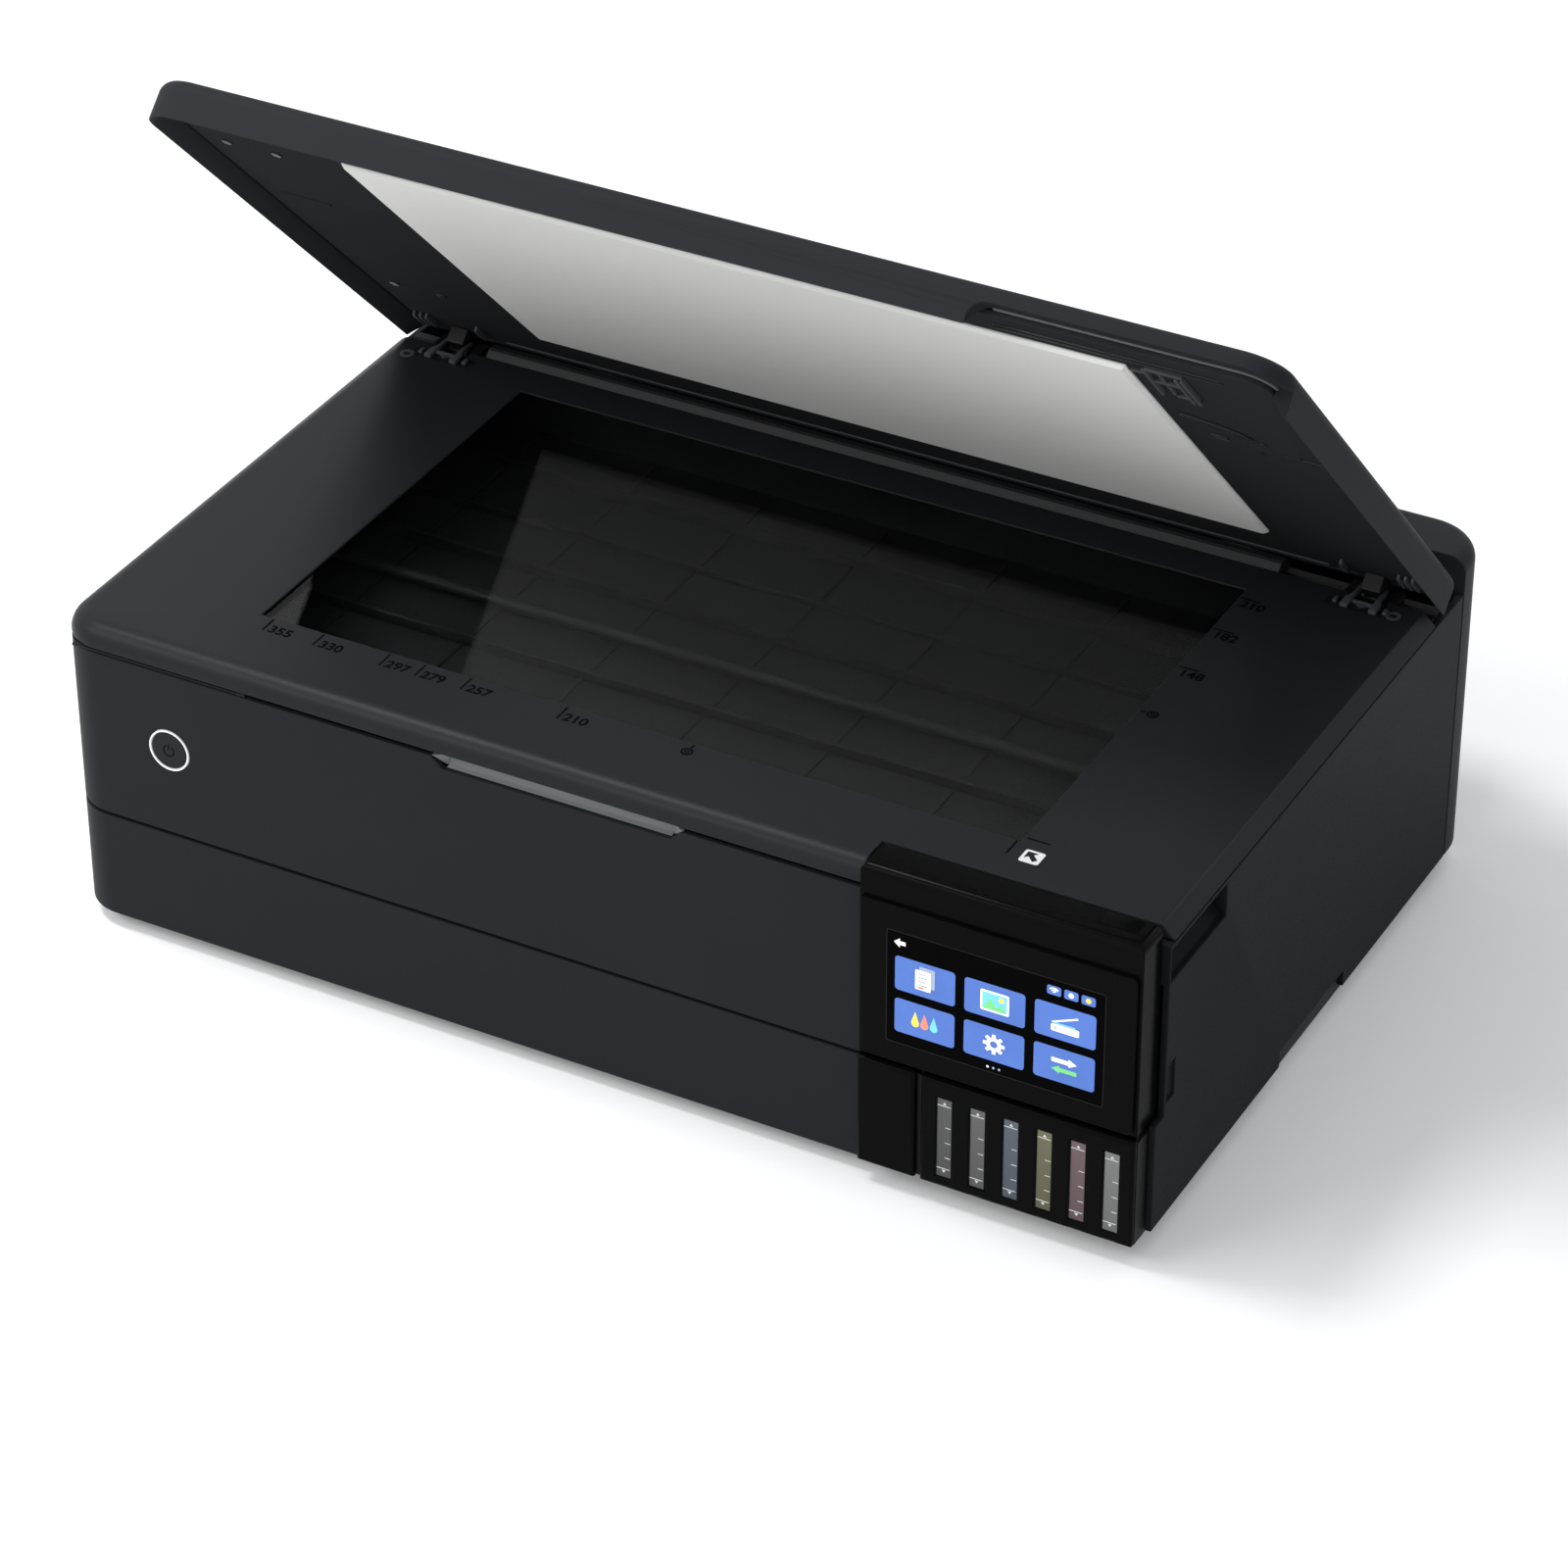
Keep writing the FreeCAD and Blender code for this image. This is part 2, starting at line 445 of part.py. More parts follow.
def control_panel():
    """Tilting control panel on a hinge rod, its glossy face and the support that carries it."""
    low, high = "unit_left + fit", "unit_right"
    outer = box("panel_outer", (low, high), ("front + face_thickness", "panel_back"),
                ("panel_bottom", "panel_top"))
    eased = soften("Fillet", "panel_eased", outer, "edge_radius", ("x", {"y": "Min", "z": "Max"}),
                   ("y", {"x": "Min", "z": "Max"}), ("y", {"x": "Max", "z": "Max"}))
    hollow = box("panel_hollow", (f"{low} + wall", f"{high} - wall"),
                 ("front + face_thickness + wall", "panel_back + wall"),
                 ("panel_bottom + wall", "panel_top - wall"))
    shell = cut("panel_shell", eased, hollow)
    lugs = []
    ends = ((f"{low} + wall", f"{low} + 2 * wall"), (f"{high} - 2 * wall", f"{high} - wall"))
    for number, (near, far) in enumerate(ends):
        lugs.append(box(f"panel_lug{number}", (near, far),
                        ("front + face_thickness + wall", "panel_back"),
                        ("panel_pin_z - 2 * wall", "panel_top - wall")))
    bore = rod("panel_bore", "x", "panel_pin_radius", (f"{low} + wall", f"{high} - wall"),
               ("panel_pin_y", "panel_pin_z"))
    keep("panel_case", cut("panel_case", fuse("panel_joined", shell, *lugs), bore))
    keep("panel_hinge_rod",
         rod("panel_hinge_rod", "x", "panel_pin_radius", (f"{low} + wall", f"{high} - wall"),
             ("panel_pin_y", "panel_pin_z")))
    face = box("face_plate", (f"{low} + face_inset", f"{high} - face_inset"),
               ("front", "front + face_thickness"), ("panel_bottom + face_inset", "face_top"))
    keep("touch_screen", soften("Fillet", "touch_screen", face, "edge_radius / 2", ("y", {"x": "Max"})))
    wall_back = "panel_back + panel_pin_back + wall"
    post = box("support_post", (f"{low} + 2 * wall + fit", f"{high} - 2 * wall - fit"),
               ("panel_back + panel_pin_back", wall_back), ("tank_unit_top", "panel_pin_z - 10 * wall"))
    sill = box("support_sill", (f"{low} + 2 * wall + fit", "unit_left + window_first - wall - fit"),
               ("panel_back", wall_back), ("tank_unit_top", "tank_unit_top + wall"))
    parts = [post, sill]
    for number, place in enumerate((f"{low} + ear_inset", f"{high} - ear_inset - ear_width")):
        across = (place, f"{place} + ear_width")
        parts.append(box(f"support_arm{number}", across,
                         ("panel_pin_y - ear_radius", "panel_pin_y + ear_radius"),
                         ("panel_pin_z - 14 * wall", "panel_pin_z")))
        parts.append(box(f"support_foot{number}", across, ("panel_pin_y - ear_radius", wall_back),
                         ("panel_pin_z - 14 * wall", "panel_pin_z - 11 * wall")))
        parts.append(rod(f"support_eye{number}", "x", "ear_radius", across,
                         ("panel_pin_y", "panel_pin_z")))
    joined = fuse("support_joined", *parts)
    eyes = rod("support_bore", "x", "panel_pin_radius + running_gap", (low, high),
               ("panel_pin_y", "panel_pin_z"))
    keep("panel_support", cut("panel_support", joined, eyes))


def tank_unit():
    """Tank housing, six tanks with caps, their cover, and the two front panels."""
    low, high = "unit_left + fit", "unit_right"
    shell = box("tank_outer", (low, high), ("front + wall + fit", "tank_rear + wall"),
                ("tank_bottom", "tank_unit_top"))
    bay = box("tank_bay", ("unit_left + window_first - wall", f"{high} - wall"), ("front", "tank_rear"),
              ("tank_bottom + wall", "panel_top"))
    keep("tank_housing", cut("tank_housing", shell, bay))
    split = "unit_left + fit + trim_width"
    trim = box("trim_plate", (low, split), ("front", "front + wall"),
               ("tank_bottom", "panel_bottom - fit - wall / 3"))
    keep("tank_trim_panel",
         soften("Fillet", "tank_trim_panel", trim, "edge_radius / 2", ("z", {"y": "Min"}),
                ("x", {"y": "Min"})))
    wide = box("window_plate", (f"{split} + trim_gap", high), ("front", "front + wall"),
               ("tank_bottom", "panel_bottom - fit - wall / 3"))
    eased = soften("Fillet", "window_eased", wide, "edge_radius / 2", ("z", {"y": "Min"}),
                   ("x", {"y": "Min"}))
    slots = []
    caps = []
    for number in range(6):
        left = f"unit_left + window_first + {number} * window_pitch"
        slots.append(box(f"window{number}", (left, f"{left} + window_width"),
                         ("front - wall", "front + 2 * wall"), ("window_bottom", "window_top")))
        middle = f"{left} + window_width / 2"
        across = (f"{middle} - tank_width / 2", f"{middle} + tank_width / 2")
        pane = box(f"tank_pane{number}", (f"{left} + fit", f"{left} + window_width - fit"),
                   ("front + window_stand", "front + wall + fit"),
                   ("window_bottom + fit", "window_top - fit"))
        lower = box(f"tank_lower{number}", across, ("front + wall + fit", "front + wall + tank_low"),
                    ("tank_bottom + wall", "tank_front_top"))
        upper = box(f"tank_upper{number}", across, ("front + wall + tank_low", "tank_rear - fit"),
                    ("tank_bottom + wall", "tank_high_top"))
        neck_y = "front + wall + tank_low + 3 * neck_radius"
        neck = rod(f"tank_neck{number}", "z", "neck_radius",
                   ("tank_high_top", "tank_high_top + neck_height"), (middle, neck_y))
        keep(f"ink_tank_{number + 1}", fuse(f"ink_tank_{number + 1}", pane, lower, upper, neck))
        caps.append(rod(f"tank_cap{number}", "z", "cap_radius",
                        ("tank_high_top + neck_height", "tank_high_top + neck_height + cap_height"),
                        (middle, neck_y)))
    keep("tank_window_panel", cut("tank_window_panel", eased, *slots))
    keep("tank_caps", group("tank_caps", *caps))


def scanner():
    """Flatbed scanner unit: bezel, glass, tray, rail rod, ridge, hinge arms and the lid's hinge pins."""
    plate_box = box("bezel_plate", ("-side", "side"), ("panel_face", "bezel_rear"),
                    ("bezel_bottom - front_lip", "scanner_top"))
    corners = soften("Fillet", "bezel_corners", plate_box, "corner_radius - fit",
                     ("z", {"x": "Min", "y": "Min"}))
    brow = soften("Fillet", "bezel_brow", corners, "front_round", ("x", {"y": "Min", "z": "Max"}))
    bevel = soften("Chamfer", "bezel_bevel", brow, "bezel_bevel", ("y", {"x": "Max", "z": "Max"}))
    under = box("bezel_under", ("-side - wall", "side + wall"), ("unit_room - fit", "bezel_rear + wall"),
                ("bezel_bottom - 2 * front_lip", "bezel_bottom"))
    opening = box("bezel_opening", ("-glass_left", "glass_right"), ("-glass_front", "glass_rear"),
                  ("bezel_bottom - wall", "scanner_top + wall"))
    pocket = box("bezel_pocket", ("-glass_left - glass_lap", "glass_right + glass_lap"),
                 ("-glass_front - glass_lap", "glass_rear + glass_lap"),
                 ("bezel_bottom - wall", "scanner_top - glass_recess"))
    unit = box("bezel_unit_room", ("unit_left - fit", "side + wall"), ("front - wall", "unit_room"),
               ("bezel_bottom - 3 * front_lip", "scanner_top + wall"))
    hinge_rooms = [box(f"bezel_hinge_room{number}",
                       (f"{way} * lid_arm_across - lid_arm_width",
                        f"{way} * lid_arm_across + lid_arm_width"),
                       ("bezel_rear - 2 * wall", "bezel_rear + wall"),
                       ("bezel_bottom - wall", "scanner_top + wall")) for number,
                   way in enumerate((-1, 1))]
    keep("scanner_bezel", cut("scanner_bezel", bevel, under, opening, pocket, unit, *hinge_rooms))
    glass = box("scan_glass", ("-glass_left - glass_lap + fit", "glass_right + glass_lap - fit"),
                ("-glass_front - glass_lap + fit", "glass_rear + glass_lap - fit"),
                ("glass_bottom", "scanner_top - glass_recess"))
    keep("scan_glass", glass)
    outer = box("tray_outer", ("-tray_inner_side", "tray_inner_side"), ("-tray_front", "bezel_rear"),
                ("tray_bottom", "bezel_bottom"))
    inner = box("tray_inner", ("-tray_inner_side + tray_wall", "tray_inner_side - tray_wall"),
                ("-tray_front + tray_wall", "bezel_rear - tray_wall"),
                ("tray_bottom + tray_wall", "scanner_top"))
    shelf = box("shelf_plate", ("-inner_side + fit", "inner_side - fit"), ("bezel_rear", "shelf_rear"),
                ("shelf_top - shelf_thickness", "shelf_top"))
    wells = []
    blocks = []
    pins = []
    for number, way in enumerate((-1, 1)):
        middle = f"{way} * lid_arm_across"
        wells.append(box(f"shelf_well{number}",
                         (f"{middle} - lid_arm_width / 2 - 4 * fit",
                          f"{middle} + lid_arm_width / 2 + 4 * fit"),
                         ("bezel_rear - wall", "shelf_rear + wall"),
                         ("shelf_top - 2 * shelf_thickness", "scanner_top")))
        for side_way in (-1, 1):
            near = f"{middle} + {side_way} * (lid_arm_width / 2 + 4 * fit)"
            far = f"{middle} + {side_way} * (lid_arm_width / 2 + 4 * fit + 2 * wall)"
            ends = (near, far) if side_way > 0 else (far, near)
            blocks.append(box(f"pin_block{number}{'ab'[side_way > 0]}", ends,
                              ("bezel_rear", "lid_axis_y + 2 * lid_pin_radius"),
                              ("shelf_top - shelf_thickness", "lid_axis_z + 2 * lid_pin_radius")))
        pins.append(rod(f"lid_pin{number}", "x", "lid_pin_radius",
                        (f"{middle} - lid_arm_width", f"{middle} + lid_arm_width"),
                        ("lid_axis_y", "lid_axis_z")))
    ridge_box = box("ridge_box", ("-ridge_left", "ridge_right"), ("ridge_front", "ridge_rear"),
                    ("shelf_top - shelf_thickness", "ridge_top"))
    ridge = soften("Chamfer", "ridge_bevelled", ridge_box, "ridge_bevel", ("x", {"z": "Max"}))
    ridge_front = box("ridge_trim", ("-side", "side"), ("ridge_front - wall", "bezel_rear"),
                      ("tray_bottom", "scanner_top"))
    tray = cut("tray_hollow", outer, inner)
    arms = []
    for number, way in enumerate((-1, 1)):
        across = (f"{way} * scanner_arm_across - scanner_arm_width / 2",
                  f"{way} * scanner_arm_across + scanner_arm_width / 2")
        arms.append(box(f"scanner_arm{number}", across, ("shelf_rear - wall", "scanner_axis_y"),
                        ("scanner_axis_z - scanner_barrel", "scanner_axis_z + scanner_barrel / 2")))
        arms.append(rod(f"scanner_barrel{number}", "x", "scanner_barrel", across,
                        ("scanner_axis_y", "scanner_axis_z")))
    bores = rod("scanner_bores", "x", "scanner_pin_radius + running_gap", ("-side", "side"),
                ("scanner_axis_y", "scanner_axis_z"))
    lid_bores = rod("lid_bores", "x", "lid_pin_radius", ("-side + wall", "side - wall"),
                    ("lid_axis_y", "lid_axis_z"))
    ridge_part = cut("ridge_part", ridge, ridge_front)
    shelf_part = cut("shelf_part", shelf, *wells)
    lower = fuse("tray_joined", tray, shelf_part, *blocks, *arms)
    keep("scanner_tray",
         cut("scanner_tray", lower, bores, lid_bores,
             box("ridge_seat", ("-ridge_left", "ridge_right"), ("bezel_rear", "ridge_rear + wall"),
                 ("shelf_top - shelf_thickness - wall", "ridge_top"))))
    keep("hinge_ridge", ridge_part)
    keep("lid_hinge_pins", group("lid_hinge_pins", *pins))
    keep("scan_rod",
         rod("scan_rod", "x", "scan_rod_radius",
             ("-tray_inner_side + tray_wall", "tray_inner_side - tray_wall"),
             ("-glass_front / 3", "scan_rod_z")))
    left = "-tray_inner_side + tray_wall + scan_home"
    bar = box("scan_bar_body", (left, f"{left} + scan_bar_width"), ("-glass_front", "glass_rear"),
              ("scan_bar_top - scan_bar_height", "scan_bar_top"))
    block = box("scan_bar_block", (left, f"{left} + scan_bar_width"),
                ("-glass_front / 3 - 3 * scan_rod_radius", "-glass_front / 3 + 3 * scan_rod_radius"),
                ("scan_rod_z", "scan_bar_top - scan_bar_height / 2"))
    saddle = rod("scan_bar_saddle", "x", "scan_rod_radius + running_gap", ("-side", "side"),
                 ("-glass_front / 3", "scan_rod_z"))
    keep("scan_bar", cut("scan_bar", fuse("scan_bar_joined", bar, block), saddle))


def scanner_brackets():
    """Brackets behind the scanner unit, on the rear housing, with its hinge pins."""
    parts = []
    pins = []
    for number, way in enumerate((-1, 1)):
        middle = f"{way} * scanner_arm_across"
        for side_way in (-1, 1):
            near = f"{middle} + {side_way} * (scanner_arm_width / 2 + fit)"
            far = f"{middle} + {side_way} * (scanner_arm_width / 2 + fit + wall)"
            ends = (near, far) if side_way > 0 else (far, near)
            tag = f"{number}{'ab'[side_way > 0]}"
            cheek = box(f"bracket{tag}", ends, ("scanner_axis_y", "rear_front"),
                        ("scanner_axis_z - 2 * scanner_barrel", "scanner_axis_z + scanner_pin_radius"))
            nose = rod(f"bracket_nose{tag}", "x", "scanner_pin_radius * 1.6", ends,
                       ("scanner_axis_y", "scanner_axis_z"))
            low = box(f"bracket_low{tag}", ends, ("rear_front - 2 * wall", "rear_front"),
                      ("scanner_axis_z - 2 * scanner_barrel", "scanner_axis_z"))
            parts.append(fuse(f"bracket_joined{tag}", cheek, nose, low))
        pins.append(rod(f"scanner_pin{number}", "x", "scanner_pin_radius",
                        (f"{middle} - scanner_arm_width / 2 - fit - wall",
                         f"{middle} + scanner_arm_width / 2 + fit + wall"),
                        ("scanner_axis_y", "scanner_axis_z")))
    bore = rod("bracket_bore", "x", "scanner_pin_radius", ("-side", "side"),
               ("scanner_axis_y", "scanner_axis_z"))
    keep("scanner_hinge_pins", group("scanner_hinge_pins", *pins))
    return [cut(f"bracket_bored{number}", part, bore) for number, part in enumerate(parts)]


def swing_open(thing):
    """Turn a lid piece, drawn closed, about the lid's hinge to its open rest pose."""
    angle = "lid_open_angle * 1 deg"
    thing.Placement = FreeCAD.Placement(FreeCAD.Vector(),
                                        FreeCAD.Rotation(FreeCAD.Vector(1, 0, 0),
                                                         -measure("lid_open_angle")))
    thing.setExpression("Placement.Rotation.Angle", bound("-lid_open_angle"))
    thing.setExpression("Placement.Base.y",
                        bound(f"lid_axis_y - lid_axis_y * cos({angle}) - lid_axis_z * sin({angle})"))
    thing.setExpression("Placement.Base.z",
                        bound(f"lid_axis_z + lid_axis_y * sin({angle}) - lid_axis_z * cos({angle})"))
    return thing


def lid():
    """Lid shell with bevelled skirts, liner, document mat and the two hinge arms."""
    outer = box("lid_outer", ("-side", "side"), ("lid_front", "lid_rear"), ("lid_bottom", "lid_top"))
    corners = soften("Fillet", "lid_corners", outer, "lid_corner", ("z", {"y": "Min"}))
    rounded = soften("Fillet", "lid_rounded", corners, "lid_round", ("x", {"z": "Max"}),
                     ("y", {"z": "Max"}))
    inner = box("lid_inner", ("-side + lid_skirt", "side - lid_skirt"),
                ("lid_front + lid_skirt", "lid_rear - wall"), ("lid_bottom - wall", "lid_top - lid_skin"))
    inner_corners = soften("Fillet", "lid_inner_corners", inner, "lid_corner - lid_skirt",
                           ("z", {"y": "Min"}))
    skirt = box("lid_skirt_flare", ("-side + lid_skirt - lid_bevel", "side - lid_skirt + lid_bevel"),
                ("lid_front + lid_skirt - lid_bevel", "lid_rear + wall"),
                ("lid_bottom - wall", "lid_bottom + lid_bevel"))
    skirt_corners = soften("Fillet", "lid_flare_corners", skirt, "lid_corner - lid_skirt + lid_bevel",
                           ("z", {"y": "Min"}))
    flare = soften("Chamfer", "lid_flare", skirt_corners, "lid_bevel", ("y", {"z": "Max"}),
                   ("x", {"z": "Max", "y": "Min"}))
    unit = box("lid_unit_room", ("unit_left - wall", "side + lid_bevel + wall"),
               ("lid_front - wall", "unit_room"), ("lid_bottom - wall", "panel_top + panel_room"))
    unit_eased = soften("Fillet", "lid_unit_eased", unit, "lid_bevel", ("y", {"z": "Max"}))
    keep("lid_shell", swing_open(cut("lid_shell", rounded, inner_corners, flare, unit_eased)))
    liner_box = box("liner_plate", ("-side + lid_skirt + fit", "side - lid_skirt - fit"),
                    ("lid_front + lid_skirt + fit", "liner_rear"),
                    ("liner_bottom", "liner_bottom + lid_liner_thickness"))
    liner = soften("Fillet", "liner_corners", liner_box, "lid_corner - lid_skirt", ("z", {"y": "Min"}))
    ribs = []
    for number, way in enumerate((-1, 1)):
        near = f"{way} * lid_arm_across"
        ribs.append(box(f"liner_rib{number}", (f"{near} - 4 * wall", f"{near} + 4 * wall"),
                        ("-mat_front / 2", "-mat_front / 2 + wall"),
                        ("liner_bottom - wall / 3", "liner_bottom")))
    posts = [box(f"liner_post{number}", (f"{place} - wall", f"{place} + wall"),
                 (along, f"{along} + 2 * wall"),
                 ("liner_bottom + lid_liner_thickness", "lid_top - lid_skin")) for number,
             (place,
              along) in enumerate([(x, y) for x in ("-mat_left",
                                                    "mat_right") for y in ("-mat_front + wall",
                                                                           "mat_rear - 3 * wall")])]
    keep("lid_liner", swing_open(fuse("lid_liner", liner, *ribs, *posts)))
    mat = box("mat_plate", ("-mat_left", "mat_right"), ("-mat_front", "mat_rear"),
              ("scanner_top + mat_gap", "liner_bottom"))
    keep("document_mat",
         swing_open(soften("Chamfer", "document_mat", mat, "mat_bevel", ("x", {"z": "Min"}),
                           ("y", {"z": "Min"}))))
    arms = []
    bore = rod("lid_arm_bore", "x", "lid_pin_radius + running_gap", ("-side", "side"),
               ("lid_axis_y", "lid_axis_z"))
    for number, way in enumerate((-1, 1)):
        across = (f"{way} * lid_arm_across - lid_arm_width / 2",
                  f"{way} * lid_arm_across + lid_arm_width / 2")
        barrel = rod(f"lid_barrel{number}", "x", "lid_barrel", across, ("lid_axis_y", "lid_axis_z"))
        arm = box(f"lid_arm{number}", across, ("liner_rear - 2 * wall", "lid_axis_y"),
                  ("lid_axis_z", "liner_bottom"))
        shin = soften("Chamfer", f"lid_shin{number}", arm, "wall", ("x", {"y": "Max", "z": "Max"}))
        arms.append(cut(f"lid_arm_bored{number}", fuse(f"lid_arm_joined{number}", barrel, shin), bore))
    keep("lid_hinge_arms", swing_open(group("lid_hinge_arms", *arms)))


def paper_handling():
    """Two cassettes, the output tray with its extension, and its runners."""
    left, right = "-cassette_left", "-cassette_left + cassette_width"
    for name, base in (("paper_cassette_lower", "lower_cassette"),
                       ("paper_cassette_upper", "upper_cassette")):
        outer = box(f"{name}_outer", (left, right),
                    ("cassette_front", "cassette_front + cassette_length"),
                    (base, f"{base} + cassette_height"))
        inner = box(f"{name}_inner", (f"{left} + wall", f"{right} - wall"),
                    ("cassette_front + wall", "cassette_front + cassette_length - wall"),
                    (f"{base} + wall", f"{base} + 2 * cassette_height"))
        keep(name, cut(name, outer, inner))
    tray = box("output_tray", (f"{left} - wall", f"{right} + wall"),
               ("tray_face", "tray_face + tray_length"), ("tray_height", "tray_height + tray_thickness"))
    channel = box("tray_channel", (f"{left} + 4 * wall", f"{right} - 4 * wall"),
                  ("tray_face - wall", "tray_face + tray_length + wall"),
                  ("tray_height + tray_thickness / 2", "tray_height + 2 * tray_thickness"))
    keep("output_tray", cut("output_tray_channelled", tray, channel))
    keep("tray_extension",
         box("tray_extension", (f"{left} + 4 * wall + fit", f"{right} - 4 * wall - fit"),
             ("extension_face", "extension_face + tray_length / 2"),
             ("tray_height + tray_thickness / 2 + fit",
              "tray_height + tray_thickness / 2 + extension_thickness")))


def print_engine():
    """Steel frame, guide rod, carriage, belt drive, rollers, platen and service station."""
    cheeks = []
    for number, way in enumerate((-1, 1)):
        ends = ("-frame_side", "-frame_in") if way < 0 else ("frame_in", "frame_side")
        cheeks.append(box(f"frame_cheek{number}", ends, ("-frame_front", "frame_rear"),
                          ("floor_top", "frame_top")))
    back = box("frame_back", ("-frame_side", "frame_side"), ("frame_rear - frame_sheet", "frame_rear"),
               ("rod_height - 8 * wall", "frame_top"))
    frame = fuse("frame_joined", *cheeks, back)
    shafts = []
    holes = (("rod_y", "rod_height", "rod_radius"),
             ("feed_y", "roller_height", "roller_journal + running_gap"),
             ("eject_y", "roller_height", "roller_journal + running_gap"))
    for number, (along, up, radius) in enumerate(holes):
        shafts.append(rod(f"frame_bore{number}", "x", radius, ("-side", "side"), (along, up)))
    bored = cut("frame_bored", frame, *shafts)
    keep("carriage_rod",
         rod("carriage_rod", "x", "rod_radius", ("-frame_side", "frame_side"), ("rod_y", "rod_height")))
    right = "carriage_home + carriage_width"
    block = box("carriage_block", ("carriage_home", right),
                ("rod_y - carriage_depth", "rod_y + 3 * rod_radius"), ("carriage_bottom", "carriage_top"))
    well = box("carriage_well", ("carriage_home + wall", f"{right} - wall"),
               ("rod_y - carriage_depth + wall", "rod_y - 3 * rod_radius"),
               ("carriage_bottom + 2 * wall", "carriage_top + wall"))
    bore = rod("carriage_bore", "x", "rod_radius + running_gap", ("-side", "side"),
               ("rod_y", "rod_height"))
    clamp = box("carriage_clamp", ("carriage_home + 6 * wall", f"{right} - 6 * wall"),
                ("rod_y + 3 * rod_radius", "belt_y - pulley_radius - belt_thickness - fit"),
                ("belt_height - wall", "belt_height + wall"))
    keep("print_carriage", cut("print_carriage", fuse("carriage_joined", block, clamp), well, bore))
    keep("print_head",
         box("print_head", ("carriage_home + 2 * wall", f"{right} - 2 * wall"),
             ("rod_y - carriage_depth + 2 * wall", "rod_y - 4 * rod_radius"),
             ("carriage_bottom - head_drop", "carriage_bottom")))
    for name, place in (("drive_pulley", "belt_right"), ("idler_pulley", "belt_left")):
        wheel = rod(f"{name}_wheel", "z", "pulley_radius",
                    ("belt_height - pulley_width / 2", "belt_height + pulley_width / 2"),
                    (place, "belt_y"))
        hole = rod(f"{name}_hole", "z", "pulley_bore + running_gap",
                   ("belt_height - pulley_width", "belt_height + pulley_width"), (place, "belt_y"))
        keep(name, cut(name, wheel, hole))
    outline = []
    for tag, grow in (("outer", "fit + belt_thickness"), ("inner", "fit")):
        span = box(f"belt_{tag}", ("belt_left", "belt_right"),
                   (f"belt_y - pulley_radius - {grow}", f"belt_y + pulley_radius + {grow}"),
                   ("belt_height - belt_width / 2", "belt_height + belt_width / 2"))
        ends = [rod(f"belt_{tag}{number}", "z", f"pulley_radius + {grow}",
                    ("belt_height - belt_width / 2", "belt_height + belt_width / 2"),
                    (place, "belt_y")) for number, place in enumerate(("belt_left", "belt_right"))]
        outline.append(fuse(f"belt_{tag}_loop", span, *ends))
    keep("drive_belt", cut("drive_belt", *outline))
    motor = rod("motor_can", "z", "2 * pulley_radius",
                ("motor_bottom", "belt_height - pulley_width"), ("belt_right", "belt_y"))
    shaft = rod("motor_shaft", "z", "pulley_bore",
                ("belt_height - pulley_width", "belt_height + pulley_width"), ("belt_right", "belt_y"))
    keep("carriage_motor", fuse("carriage_motor", motor, shaft))
    post = rod("idler_post", "z", "pulley_bore",
               ("belt_height - pulley_width - fit", "belt_height + pulley_width"),
               ("belt_left", "belt_y"))
    stay = box("idler_stay", ("-frame_in", "belt_left + 2 * wall"),
               ("belt_y - 2 * wall", "belt_y + 2 * wall"),
               ("belt_height - pulley_width - wall", "belt_height - pulley_width"))
    shelf = box("motor_shelf", ("belt_right - 2 * pulley_radius", "frame_in"),
                ("belt_y - pulley_radius", "belt_y + pulley_radius"),
                ("motor_bottom - wall", "motor_bottom"))
    keep("main_frame", fuse("main_frame", bored, post, stay, shelf))
    for name, along in (("feed_roller", "feed_y"), ("eject_roller", "eject_y")):
        shaft = rod(f"{name}_shaft", "x", "roller_journal", ("-frame_side - wall", "frame_side + wall"),
                    (along, "roller_height"))
        body = rod(f"{name}_body", "x", "roller_radius", ("-paper_left", "paper_right"),
                   (along, "roller_height"))
        keep(name, fuse(name, shaft, body))
    keep("platen",
         box("platen", ("-frame_in", "frame_in"),
             ("eject_y + 2 * roller_radius", "feed_y - 2 * roller_radius"),
             ("platen_top - 2 * wall", "platen_top")))
    keep("capping_station",
         box("capping_station", ("carriage_home", "carriage_home + carriage_width"),
             ("rod_y - carriage_depth", "rod_y - 3 * rod_radius"),
             ("platen_top", "carriage_bottom - head_drop - 2 * fit")))
    keep("waste_ink_box",
         box("waste_ink_box", ("paper_right", "carriage_home + carriage_width"),
             ("feed_y - cassette_width / 4", "frame_rear - 4 * wall"),
             ("floor_top", "floor_top + 2 * cassette_height")))
    roller = rod("pickup_tyre", "x", "pickup_radius", ("-paper_left / 2", "paper_right / 2"),
                 ("slot_start + pickup_radius", "pickup_height"))
    spindle = rod("pickup_spindle", "x", "roller_journal", ("-slot_left", "slot_right"),
                  ("slot_start + pickup_radius", "pickup_height"))
    keep("pickup_roller", fuse("pickup_roller", roller, spindle))


def electronics():
    """Main board and power supply inside the case."""
    keep("main_board",
         box("main_board", ("frame_side", "frame_side + wall / 2"), ("-frame_front + wall", "feed_y"),
             ("roller_height + 3 * wall", "frame_top - wall")))
    keep("power_supply",
         box("power_supply", ("-inlet_across + 10 * wall", "-inlet_across + 44 * wall"),
             ("frame_rear + wall", "rear_front"), ("floor_top", "inlet_height + 4 * wall")))


